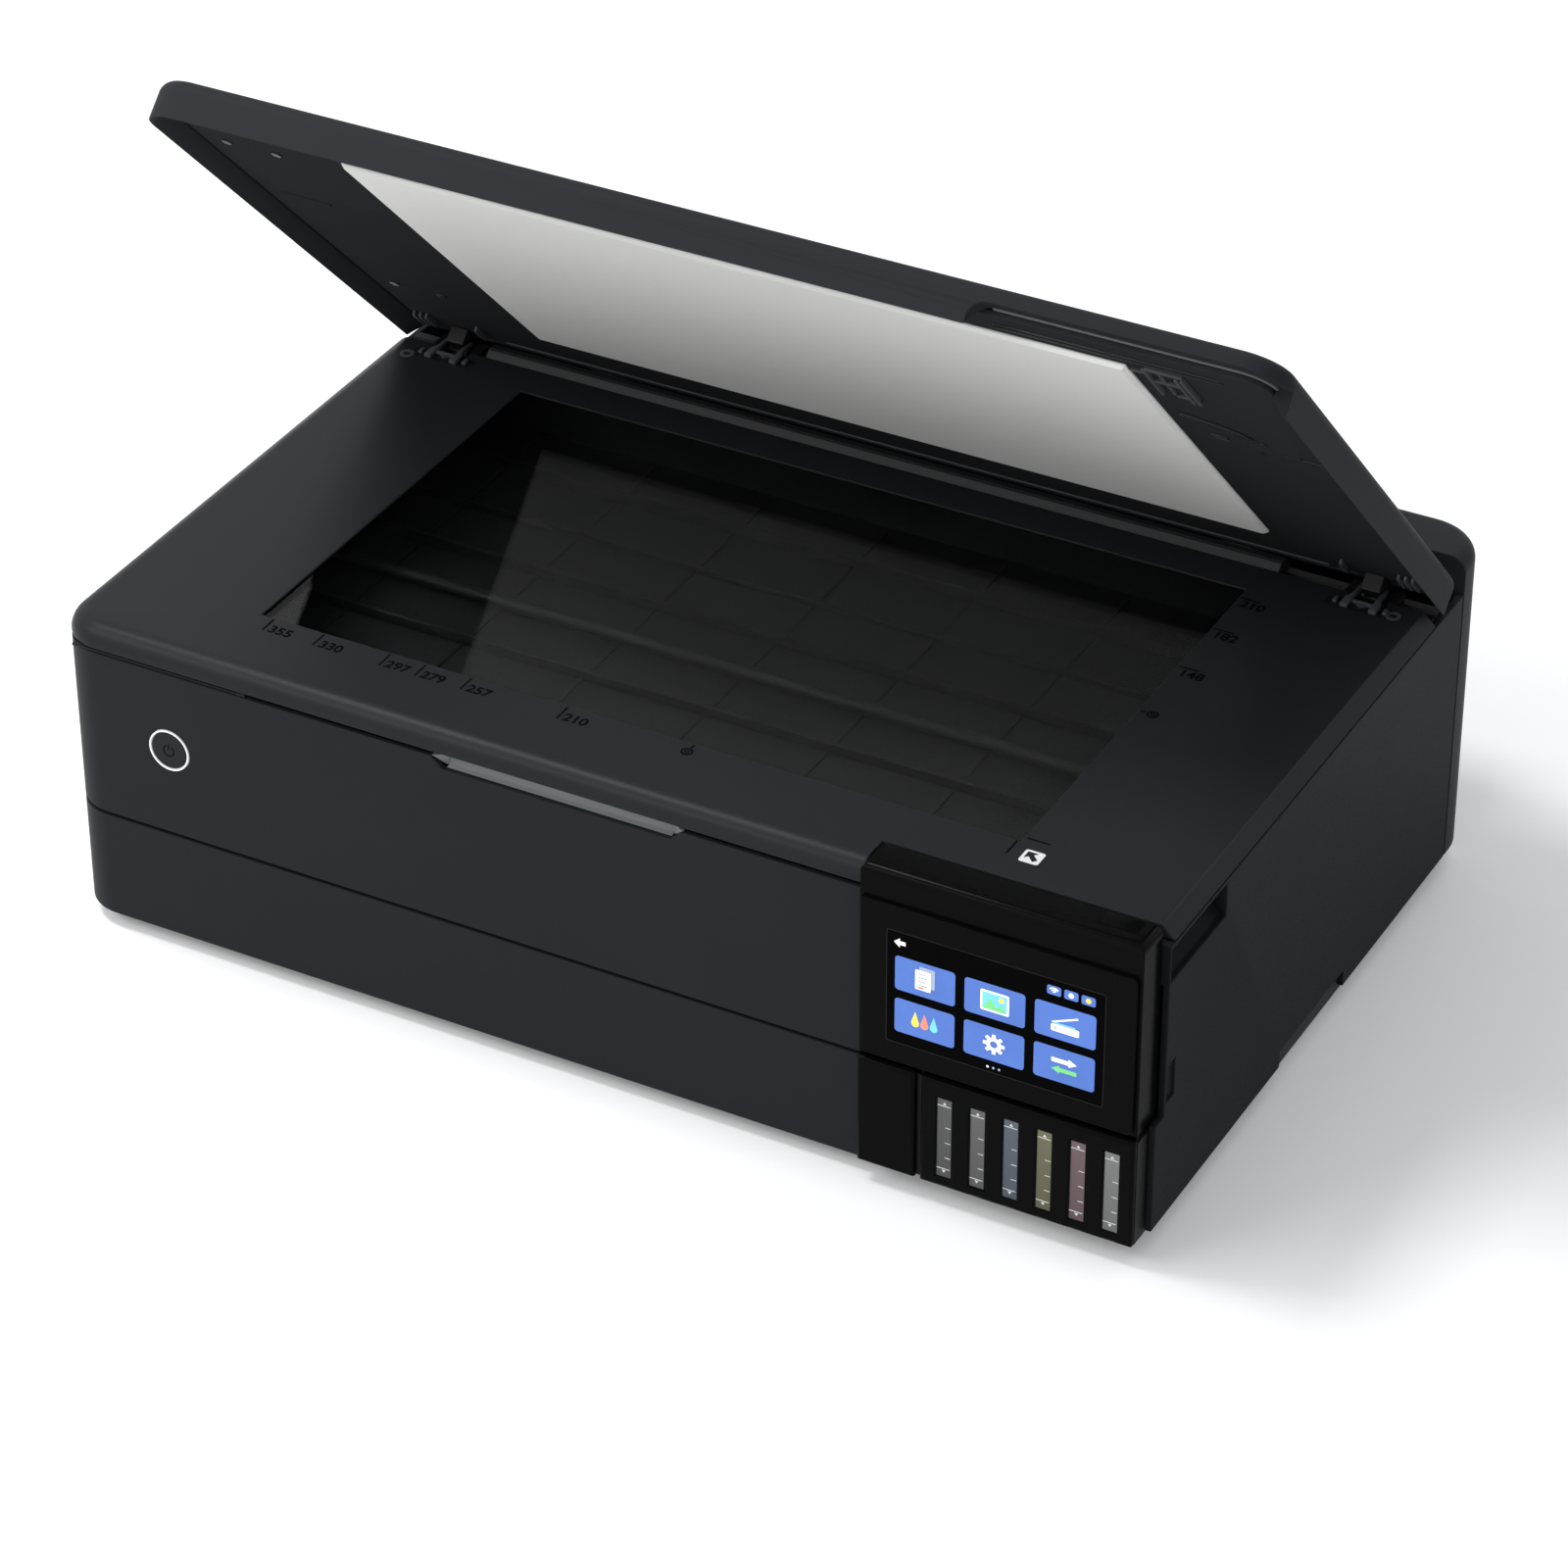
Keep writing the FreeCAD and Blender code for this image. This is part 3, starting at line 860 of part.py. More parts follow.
def check(things):
    """Stop if any object failed or a piece's shape isn't sound."""
    failed = [item.Name for item in doc.Objects if "Invalid" in item.State or "Error" in item.State]
    if failed:
        raise RuntimeError(f"failed objects: {failed}")
    for name, item in things.items():
        if item.Shape.isNull() or not item.Shape.isValid() or not item.Shape.Solids:
            raise RuntimeError(f"{name} has no sound shape")


for make in (bottom_case, feet, side_panels, rear_housing, rear_sockets, front_panels, control_panel,
             tank_unit, scanner, lid, paper_handling, print_engine, electronics):
    make()
doc.recompute()
check(nodes)
os.makedirs("parts", exist_ok=True)
for node_name, node in nodes.items():
    node.Shape.exportStep(f"parts/{node_name}.step")
print(len(nodes), "pieces")
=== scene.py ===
"""Looks of a wide flatbed inkjet printer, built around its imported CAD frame."""

import json
import math
from contextlib import contextmanager

import bmesh
import bpy
from bpy.props import FloatProperty, FloatVectorProperty, IntProperty, PointerProperty
from mathutils import Matrix, Vector


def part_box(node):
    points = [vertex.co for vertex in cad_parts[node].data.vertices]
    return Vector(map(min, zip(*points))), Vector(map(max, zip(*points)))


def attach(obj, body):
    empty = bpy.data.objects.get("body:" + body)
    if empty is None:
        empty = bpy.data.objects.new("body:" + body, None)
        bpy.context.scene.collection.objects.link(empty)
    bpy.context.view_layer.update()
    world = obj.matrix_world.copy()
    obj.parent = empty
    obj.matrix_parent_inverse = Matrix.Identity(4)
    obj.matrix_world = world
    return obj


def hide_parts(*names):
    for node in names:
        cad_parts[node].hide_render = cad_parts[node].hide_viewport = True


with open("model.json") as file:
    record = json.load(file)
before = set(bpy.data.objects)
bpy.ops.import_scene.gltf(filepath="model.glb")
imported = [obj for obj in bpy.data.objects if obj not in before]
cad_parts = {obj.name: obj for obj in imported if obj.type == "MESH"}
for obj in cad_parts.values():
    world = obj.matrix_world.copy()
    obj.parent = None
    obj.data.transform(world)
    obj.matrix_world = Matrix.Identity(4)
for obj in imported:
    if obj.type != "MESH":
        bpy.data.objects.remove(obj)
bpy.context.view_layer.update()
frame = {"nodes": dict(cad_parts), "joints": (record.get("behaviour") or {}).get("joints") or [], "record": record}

bl_info = {
    "name": "Flatbed inkjet printer",
    "version": (1, 0, 0),
    "blender": (4, 5, 0),
    "location": "View3D > Sidebar > Printer",
    "description": "Finishes, mouldings, markings and stage of a flatbed inkjet printer",
    "category": "Object",
}

MM = 0.001
SLOTS = {part["node"]: part["material_slot"] for part in frame["record"]["subparts"]}
BODIES = {node: body for body, members in frame["record"]["behaviour"]["bodies"].items() for node in members}


def low(node):
    """Lowest corner of a CAD node, in millimetres."""
    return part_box(node)[0] / MM


def high(node):
    """Highest corner of a CAD node, in millimetres."""
    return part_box(node)[1] / MM


def lid_turn():
    """The move, in millimetres, that swings a piece drawn on the closed lid to the open rest pose."""
    hinge = next(joint for joint in frame["joints"] if joint["name"] == "lid_hinge")
    centre = Vector(hinge["pos_m"]) / MM
    swing = Matrix.Rotation(-math.radians(hinge["range_deg"][0]), 4, Vector(hinge["axis"]))
    return Matrix.Translation(centre) @ swing @ Matrix.Translation(-centre)


# Places in millimetres: front of the case, front of the control unit, top of the bezel, back of the housing,
# underside of the closed lid's liner, and how deep a detail is set into what carries it.
LID = lid_turn()
FACE_Y = low("front_fascia").y
UNIT_Y = low("touch_screen").y
TOP_Z = high("scanner_bezel").z
REAR_Y = high("rear_housing").y
LINER_Z = 158.0
SINK = 0.1


def length_property(name, description, default):
    """One length that a user may change."""
    return FloatProperty(name=name, description=description, default=default, unit="LENGTH")


class PrinterSizes(bpy.types.PropertyGroup):
    """Sizes of the printer's fine details."""

    edge: length_property("Edge softness", "Rounding of moulded edges", 0.0006)
    print_height: length_property("Print thickness", "How far printed marks stand up", 0.00012)
    digit: length_property("Digit height", "Height of the paper-size numbers", 0.0076)
    tick: length_property("Tick length", "Length of the paper-size ticks", 0.0094)
    stroke: length_property("Stroke width", "Width of printed lines", 0.0008)
    tile_gap: length_property("Tile gap", "Space between tiles on the screen", 0.0042)
    screw: length_property("Screw radius", "Radius of the screw heads", 0.0028)
    vent: length_property("Vent width", "Width of one vent slot", 0.0022)
    rounding: IntProperty(name="Rounding steps", description="Segments in a rounded edge", default=3,
                          min=1, max=8)
    lens: FloatProperty(name="Lens", description="Focal length of the camera", default=127.97,
                        subtype="DISTANCE_CAMERA")


def colour_property(name, description, default):
    """One finish colour that a user may change."""
    return FloatVectorProperty(name=name, description=description, default=default, subtype="COLOR",
                               size=3, min=0, max=1)


class PrinterColours(bpy.types.PropertyGroup):
    """Colours of the printer's finishes, as linear values."""

    charcoal: colour_property("Charcoal", "Textured outer mouldings", (0.0200, 0.0213, 0.0242))
    # The side colour is the charcoal made darker: painted shade for the dimmer light on the side panels.
    side: colour_property("Side", "Side panels", (0.0128, 0.0133, 0.0155))
    bezel: colour_property("Bezel", "Scanner bezel", (0.0190, 0.0198, 0.0224))
    inner: colour_property("Inner", "Matt inner mouldings", (0.0085, 0.0087, 0.0090))
    liner: colour_property("Liner", "Inside of the lid", (0.0300, 0.0307, 0.0326))
    ridge: colour_property("Ridge", "Ridge in front of the hinges", (0.0210, 0.0220, 0.0235))
    # The notch is grey, set much lighter than its own grey: painted light for the light that falls into the scoop.
    notch: colour_property("Notch", "Finger notch", (0.250, 0.262, 0.276))
    gloss: colour_property("Gloss", "Polished black of the control unit", (0.0030, 0.0030, 0.0032))
    mat: colour_property("Mat", "Document mat", (0.88, 0.88, 0.85))
    steel: colour_property("Steel", "Plated steel", (0.55, 0.56, 0.57))
    rubber: colour_property("Rubber", "Feet, tyres and belt", (0.014, 0.014, 0.014))
    print_grey: colour_property("Print", "Printed paper-size marks", (0.0045, 0.0045, 0.0048))
    white: colour_property("White", "White print and symbols", (0.80, 0.81, 0.82))
    tile: colour_property("Tile", "Tiles on the screen", (0.075, 0.155, 0.470))
    board: colour_property("Board", "Circuit boards", (0.020, 0.110, 0.050))
    foam: colour_property("Foam", "Ink absorber box", (0.30, 0.30, 0.30))


FINISHES = {}
INKS = {"ink_grey": (0.108, 0.108, 0.108), "ink_black": (0.135, 0.135, 0.131),
        "ink_blue": (0.107, 0.128, 0.163), "ink_yellow": (0.170, 0.165, 0.090),
        "ink_magenta": (0.175, 0.112, 0.125), "ink_clear": (0.228, 0.228, 0.224)}
ICON_COLOURS = {"sky": (0.16, 0.52, 0.86), "sun": (0.90, 0.62, 0.08), "leaf": (0.16, 0.55, 0.20),
                "coral": (0.86, 0.22, 0.14), "paper": (0.82, 0.84, 0.86), "dim": (0.30, 0.36, 0.48)}
ICON_GLOW = 0.75
GLASS_TINTS = (0.80, 0.83, 0.82), (0.86, 0.88, 0.87)
FLOW_TINTS = (0.72, 0.72, 0.72), (1.0, 1.0, 1.0)
GLASS_IOR = 1.17
BRUSHED = (0.04, 1.0, 1.0)
BROAD_SCALE = 7.0
GLOSS_SWING = 0.05
BUMP_STRENGTH = 0.6
LIT_ROUGHNESS = 0.35
INK_LEVEL = 0.72


def new_material(name):
    """An empty node material with its shader and object coordinates."""
    material = bpy.data.materials.new(name)
    material.use_nodes = True
    tree = material.node_tree
    shader = tree.nodes["Principled BSDF"]
    coords = tree.nodes.new("ShaderNodeTexCoord")
    return material, tree, shader, coords.outputs["Object"]


def noise(tree, coords, scale, detail, stretch=None):
    """A noise texture over the object's own coordinates."""
    texture = tree.nodes.new("ShaderNodeTexNoise")
    texture.inputs["Scale"].default_value = scale
    texture.inputs["Detail"].default_value = detail
    if stretch:
        mapping = tree.nodes.new("ShaderNodeMapping")
        mapping.inputs["Scale"].default_value = stretch
        tree.links.new(coords, mapping.inputs["Vector"])
        coords = mapping.outputs["Vector"]
    tree.links.new(coords, texture.inputs["Vector"])
    return texture.outputs["Fac"]


def spread(tree, factor, low_value, high_value, start=0.3, end=0.7):
    """Map a factor to a span of values."""
    node = tree.nodes.new("ShaderNodeMapRange")
    spans = {"From Min": start, "From Max": end, "To Min": low_value, "To Max": high_value}
    for socket, value in spans.items():
        node.inputs[socket].default_value = value
    tree.links.new(factor, node.inputs["Value"])
    return node.outputs["Result"]


def two_tones(tree, factor, first, second):
    """Blend two colours by a factor."""
    node = tree.nodes.new("ShaderNodeMix")
    node.data_type = "RGBA"
    node.inputs["A"].default_value = (*first, 1)
    node.inputs["B"].default_value = (*second, 1)
    tree.links.new(factor, node.inputs["Factor"])
    return node.outputs["Result"]


def vary_gloss(tree, shader, factor, roughness):
    """Let the roughness follow a texture."""
    varied = spread(tree, factor, roughness - GLOSS_SWING, roughness + GLOSS_SWING)
    tree.links.new(varied, shader.inputs["Roughness"])


def grain_bump(tree, shader, factor, depth):
    """Raise the surface by a texture."""
    bump = tree.nodes.new("ShaderNodeBump")
    bump.inputs["Strength"].default_value = BUMP_STRENGTH
    bump.inputs["Distance"].default_value = depth
    tree.links.new(factor, bump.inputs["Height"])
    tree.links.new(bump.outputs["Normal"], shader.inputs["Normal"])


def shade(colour, amount):
    """A colour made lighter or darker."""
    return tuple(min(1.0, channel * amount) for channel in colour)


def moulded(name, colour, roughness, specular, grain=0.0007, depth=0.00004, mottle=0.10, metal=0.0,
            stretch=None):
    """Moulded or brushed surface: broad tone changes, fine grain, and gloss that follows the grain."""
    material, tree, shader, coords = new_material(name)
    broad = noise(tree, coords, BROAD_SCALE, 4.0)
    fine = noise(tree, coords, 1.0 / grain, 3.0, stretch)
    tone = two_tones(tree, broad, shade(colour, 1 - mottle), shade(colour, 1 + mottle))
    tree.links.new(tone, shader.inputs["Base Color"])
    vary_gloss(tree, shader, fine, roughness)
    grain_bump(tree, shader, fine, depth)
    shader.inputs["Metallic"].default_value = metal
    shader.inputs["Specular IOR Level"].default_value = specular
    return material


def glass(name):
    """Clear float glass with a thin coat against glare and faint smears."""
    material, tree, shader, coords = new_material(name)
    smear = noise(tree, coords, 14.0, 5.0, (1.0, 3.0, 1.0))
    tree.links.new(two_tones(tree, smear, *GLASS_TINTS), shader.inputs["Base Color"])
    tree.links.new(spread(tree, smear, 0.0, 0.03), shader.inputs["Roughness"])
    shader.inputs["Transmission Weight"].default_value = 1.0
    shader.inputs["IOR"].default_value = GLASS_IOR
    return material


def tank_plastic(name, colour):
    """Frosted tank wall: lighter at the top, tinted ink lower down, with faint flow lines."""
    material, tree, shader, coords = new_material(name)
    split = tree.nodes.new("ShaderNodeSeparateXYZ")
    tree.links.new(coords, split.inputs["Vector"])
    base, top = low("tank_window_panel").z * MM, high("tank_window_panel").z * MM
    height = spread(tree, split.outputs["Z"], 0.0, 1.0, base, top)
    ramp = tree.nodes.new("ShaderNodeValToRGB")
    tree.links.new(height, ramp.inputs["Fac"])
    ramp.color_ramp.elements[0].color = (*shade(colour, 0.62), 1)
    ramp.color_ramp.elements[1].color = (*shade(colour, 1.15), 1)
    middle = ramp.color_ramp.elements.new(INK_LEVEL)
    middle.color = (*shade(colour, 0.95), 1)
    flow = noise(tree, coords, 60.0, 2.0, (6.0, 1.0, 0.6))
    mix = tree.nodes.new("ShaderNodeMix")
    mix.data_type = "RGBA"
    mix.blend_type = "MULTIPLY"
    mix.inputs["Factor"].default_value = 0.35
    tree.links.new(ramp.outputs["Color"], mix.inputs["A"])
    tree.links.new(two_tones(tree, flow, *FLOW_TINTS), mix.inputs["B"])
    tree.links.new(mix.outputs["Result"], shader.inputs["Base Color"])
    tree.links.new(spread(tree, flow, 0.30, 0.42), shader.inputs["Roughness"])
    shader.inputs["Specular IOR Level"].default_value = 0.35
    return material


def lit(name, colour, glow):
    """A lit area of the screen or ring, a little uneven like a back light."""
    material, tree, shader, coords = new_material(name)
    cloud = noise(tree, coords, 45.0, 2.0)
    tone = two_tones(tree, cloud, shade(colour, 0.86), shade(colour, 1.12))
    tree.links.new(tone, shader.inputs["Base Color"])
    tree.links.new(tone, shader.inputs["Emission Color"])
    vary_gloss(tree, shader, cloud, LIT_ROUGHNESS)
    shader.inputs["Emission Strength"].default_value = glow
    shader.inputs["Specular IOR Level"].default_value = 0.2
    return material


def make_finishes(colours):
    """Every finish of the printer, by name."""
    FINISHES.update({
        "charcoal": moulded("textured_charcoal", colours.charcoal, 0.44, 0.035),
        # Side panels and the plate under the case take the charcoal darkened as painted shade.
        "side": moulded("textured_side_painted_shade", colours.side, 0.50, 0.03),
        "bezel": moulded("textured_bezel", colours.bezel, 0.36, 0.07),
        "dark_plastic": moulded("matt_black", colours.inner, 0.58, 0.22),
        "liner": moulded("liner_black", colours.liner, 0.50, 0.0),
        # The lid's finish is the case charcoal made 1.3 times lighter: painted light for the brighter light that
        # falls on the lid.
        "lid": moulded("lid_charcoal_painted_lighter", shade(colours.charcoal, 1.3), 0.44, 0.01),
        "ridge_grey": moulded("ridge_grey", colours.ridge, 0.42, 0.30),
        # Notch grey with painted light in it; the rim and bead greys below are taken from it.
        "notch": moulded("notch_grey_painted_light", colours.notch, 0.50, 0.25),
        # Rim grey is a light grey made as a painted highlight: the lid stops, hinge forks, hinge combs, clip
        # bracket and lid rear strip take it in place of the light their edges catch.
        "rim": moulded("rim_painted_highlight", shade(colours.notch, 0.28), 0.45, 0.15),
        # Bead grey is a painted highlight for the raised lid edge, lighter than the rim grey.
        "bead": moulded("bead_painted_highlight", shade(colours.notch, 0.55), 0.45, 0.15),
        "gloss_black": moulded("polished_black", colours.gloss, 0.20, 0.03, 0.004, 0.000004, 0.2),
        "screen_black": moulded("screen_cover", colours.gloss, 0.10, 0.03, 0.006, 0.000002, 0.2),
        "scan_glass": glass("float_glass"),
        "mat_white": moulded("document_sheet", colours.mat, 0.62, 0.30, 0.0012, 0.00003, 0.05),
        "steel": moulded("plated_steel", colours.steel, 0.36, 0.5, 0.0010, 0.00001, 0.08, 1.0, BRUSHED),
        "rubber": moulded("black_rubber", colours.rubber, 0.75, 0.25, 0.0010, 0.00005),
        "button_black": moulded("button_black", colours.charcoal, 0.44, 0.06),
        "ring_light": lit("ring_light", colours.white, 0.35),
        "board_green": moulded("board_green", colours.board, 0.45, 0.4, 0.003, 0.00002, 0.25),
        "waste_foam": moulded("absorber_grey", colours.foam, 0.8, 0.2, 0.002, 0.00010, 0.2),
        "cap_black": moulded("cap_black", colours.inner, 0.45, 0.3),
        "print_grey": moulded("print_grey", colours.print_grey, 0.85, 0.0, 0.0006, 0.00001, 0.06),
        "print_white": moulded("print_white", colours.white, 0.50, 0.2, 0.0006, 0.00001, 0.04),
        "tile": lit("screen_tile", colours.tile, 0.62),
        "display": moulded("display_black", shade(colours.gloss, 0.2), 0.12, 0.02, 0.006, 0.000002, 0.2),
    })
    for name, colour in INKS.items():
        FINISHES[name] = tank_plastic(name, colour)
    for name, colour in ICON_COLOURS.items():
        FINISHES[name] = lit(f"icon_{name}", colour, ICON_GLOW)


SHARP_ANGLE = 35.0
CORNER_ANGLE = 40.0
FLAT_ANGLE = 0.4
WELD = 0.0001
NODE_WELD = 0.000002
EDGE_STEPS = 2


def dress(name, mesh, finish, body, replaced=()):
    """Link a mesh as a piece, shade it and join it to its body."""
    thing = bpy.data.objects.new(name, mesh)
    bpy.context.scene.collection.objects.link(thing)
    mesh.materials.clear()
    mesh.materials.append(FINISHES[finish])
    mesh.polygons.foreach_set("use_smooth", [True] * len(mesh.polygons))
    mesh.set_sharp_from_angle(angle=math.radians(SHARP_ANGLE))
    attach(thing, body)
    if replaced:
        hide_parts(*replaced)
    return thing


def place(name, bm, finish, body, turn=None):
    """Turn a mesh drawn in millimetres into a finished piece that rides on a body."""
    if turn is not None:
        bm.transform(turn)
    bm.transform(Matrix.Scale(MM, 4))
    bmesh.ops.recalc_face_normals(bm, faces=bm.faces)
    mesh = bpy.data.meshes.new(name)
    bm.to_mesh(mesh)
    bm.free()
    dress(name, mesh, finish, body)


@contextmanager
def piece(name, finish, body, slot, turn=None):
    """Give an empty mesh to draw in, and place it as a piece when the drawing is done."""
    bm = bmesh.new()
    yield bm
    place(name, bm, finish, body, turn)


def polar(centre, radius, degrees):
    """A point on a plane, at an angle and a distance from a centre."""
    angle = math.radians(degrees)
    return centre[0] + radius * math.cos(angle), centre[1] + radius * math.sin(angle)


def arc(centre, radius, first, last, steps):
    """Points of an arc between two angles in degrees."""
    return [polar(centre, radius, first + (last - first) * i / steps) for i in range(steps + 1)]


def disc(centre, radius, count):
    """Points of a circle."""
    return [polar(centre, radius, 360 * i / count) for i in range(count)]


def rounded(x0, y0, x1, y1, radius, steps=5):
    """Points of a rectangle with rounded corners."""
    corners = ((x1 - radius, y0 + radius), (x1 - radius, y1 - radius),
               (x0 + radius, y1 - radius), (x0 + radius, y0 + radius))
    points = []
    for number, corner in enumerate(corners):
        points += arc(corner, radius, 90 * number - 90, 90 * number, steps)
    return points


def prism(bm, outline, plane, start, end, rounding=0.0):
    """A solid drawn as an outline on a plane ("xy", "xz" or "yz") from start to end on the third axis."""
    def spot(a, b, depth):
        return {"xy": (a, b, depth), "xz": (a, depth, b), "yz": (depth, a, b)}[plane]
    first = [bm.verts.new(spot(a, b, start)) for a, b in outline]
    second = [bm.verts.new(spot(a, b, end)) for a, b in outline]
    faces = [bm.faces.new(first), bm.faces.new(list(reversed(second)))]
    count = len(outline)
    for index in range(count):
        after = (index + 1) % count
        faces.append(bm.faces.new((first[after], first[index], second[index], second[after])))
    bmesh.ops.recalc_face_normals(bm, faces=faces)
    if rounding > 0:
        edges = [edge for edge in dict.fromkeys(edge for face in faces for edge in face.edges)
                 if len(edge.link_faces) == 2 and edge.calc_face_angle(0) > math.radians(CORNER_ANGLE)]
        bmesh.ops.bevel(bm, geom=edges, offset=rounding, segments=EDGE_STEPS, profile=0.5, affect="EDGES",
                        clamp_overlap=True)


def block(bm, lowest, highest, rounding=0.3):
    """A softened block between two corners."""
    (x0, y0, z0), (x1, y1, z1) = lowest, highest
    prism(bm, [(x0, y0), (x1, y0), (x1, y1), (x0, y1)], "xy", z0, z1, rounding)


def row(middle, count, pitch):
    """Evenly spaced places on both sides of a middle."""
    return [middle + (number - (count - 1) / 2) * pitch for number in range(count)]


def rib_row(bm, places, half, near, far, rounding):
    """Like ribs that run from front to rear, each at a place, between two corners of its side view."""
    for x in places:
        block(bm, (x - half, *near), (x + half, *far), rounding)


def band(bm, centre, inner, outer, plane, start, end, first=0.0, last=360.0, count=40):
    """A flat ring, or part of one, given by angles in degrees."""
    near = arc(centre, inner, first, last, count)
    away = arc(centre, outer, first, last, count)
    for i in range(count):
        prism(bm, [near[i], away[i], away[i + 1], near[i + 1]], plane, start, end)
    bmesh.ops.remove_doubles(bm, verts=bm.verts, dist=WELD)
    inside = [face for face in bm.faces
              if all(len(edge.link_faces) > 2 for edge in face.edges if edge.calc_length() > 0)]
    bmesh.ops.delete(bm, geom=inside, context="FACES_ONLY")


def screw_head(bm, centre, radius, plane, start, end):
    """A pan head with a cross recess drawn as four raised quarters."""
    middle = (start + end) / 2
    prism(bm, disc(centre, radius, 24), plane, start, middle, radius * 0.08)
    for turn in range(0, 360, 90):
        corner = polar(centre, radius * 0.224, turn + 45)
        prism(bm, [corner, *arc(corner, radius * 0.74, turn, turn + 90, 6)], plane, middle, end)


def digits(text, height, corner, base, thickness):
    """Plain figures as a mesh, lying on a level plane and read from the front."""
    curve = bpy.data.curves.new("figures", "FONT")
    curve.body = text
    curve.size = height
    curve.extrude = thickness / 2
    curve.offset = height * 0.02
    curve.align_x = "LEFT"
    holder = bpy.data.objects.new("figures", curve)
    bpy.context.scene.collection.objects.link(holder)
    bpy.context.view_layer.update()
    mesh = bpy.data.meshes.new_from_object(holder.evaluated_get(bpy.context.evaluated_depsgraph_get()))
    mesh.transform(Matrix.Translation((*corner, base + thickness / 2)))
    bpy.data.objects.remove(holder)
    bpy.data.curves.remove(curve)
    return mesh


def soften_node(node, finish, width, steps, reshape=None):
    """Stand a welded copy, with its flat faces joined and its edges rounded, in for a CAD node."""
    bm = bmesh.new()
    bm.from_mesh(frame["nodes"][node].data)
    bmesh.ops.remove_doubles(bm, verts=bm.verts, dist=NODE_WELD)
    bmesh.ops.dissolve_limit(bm, angle_limit=math.radians(FLAT_ANGLE), verts=bm.verts, edges=bm.edges)
    if reshape:
        reshape(bm)
    mesh = bpy.data.meshes.new(f"{node}_shape")
    bm.to_mesh(mesh)
    bm.free()
    thing = dress(f"{node}_moulding", mesh, finish, BODIES[node], (node,))
    bevel = thing.modifiers.new("Rounded edges", "BEVEL")
    bevel.width = width
    bevel.segments = steps
    bevel.limit_method = "ANGLE"
    bevel.angle_limit = math.radians(CORNER_ANGLE)
    bevel.use_clamp_overlap = False
    bevel.harden_normals = True


class PrinterOperator:
    """Shared settings of the printer's operators."""

    bl_options = {"REGISTER", "UNDO"}


class PRINTER_OT_finishes(PrinterOperator, bpy.types.Operator):
    """Make the finishes and put them on every CAD node"""

    bl_idname = "printer.finishes"
    bl_label = "Finishes"

    OTHER = {"scan_rod": "dark_plastic"}

    def execute(self, context):
        make_finishes(context.scene.printer_colours)
        for node, thing in frame["nodes"].items():
            thing.data.materials.clear()
            thing.data.materials.append(FINISHES[self.OTHER.get(node, SLOTS[node])])
        return {"FINISHED"}


class PRINTER_OT_mouldings(PrinterOperator, bpy.types.Operator):
    """Round the edges of the outer mouldings"""

    bl_idname = "printer.mouldings"
    bl_label = "Outer mouldings"

    FINISH = {"front_fascia": "charcoal", "front_cover": "charcoal", "rear_housing": "charcoal",
              "left_side_panel": "side", "right_side_panel": "side", "lid_shell": "lid",
              "scanner_bezel": "bezel", "rear_jam_cover": "charcoal", "rear_feed_cover": "charcoal",
              "panel_case": "gloss_black", "tank_trim_panel": "gloss_black",
              "tank_window_panel": "gloss_black", "bottom_case": "dark_plastic",
              "hinge_ridge": "ridge_grey", "lid_liner": "liner", "document_mat": "mat_white",
              "power_button": "button_black", "lid_hinge_arms": "cap_black", "power_inlet": "dark_plastic",
              "data_ports": "steel", "output_tray": "dark_plastic"}
    FINER = {"document_mat": 0.7, "data_ports": 0.7, "lid_shell": 0.35}

    def execute(self, context):
        sizes = context.scene.printer_sizes
        for node, finish in self.FINISH.items():
            soften_node(node, finish, sizes.edge * self.FINER.get(node, 1.0), sizes.rounding)
        return {"FINISHED"}


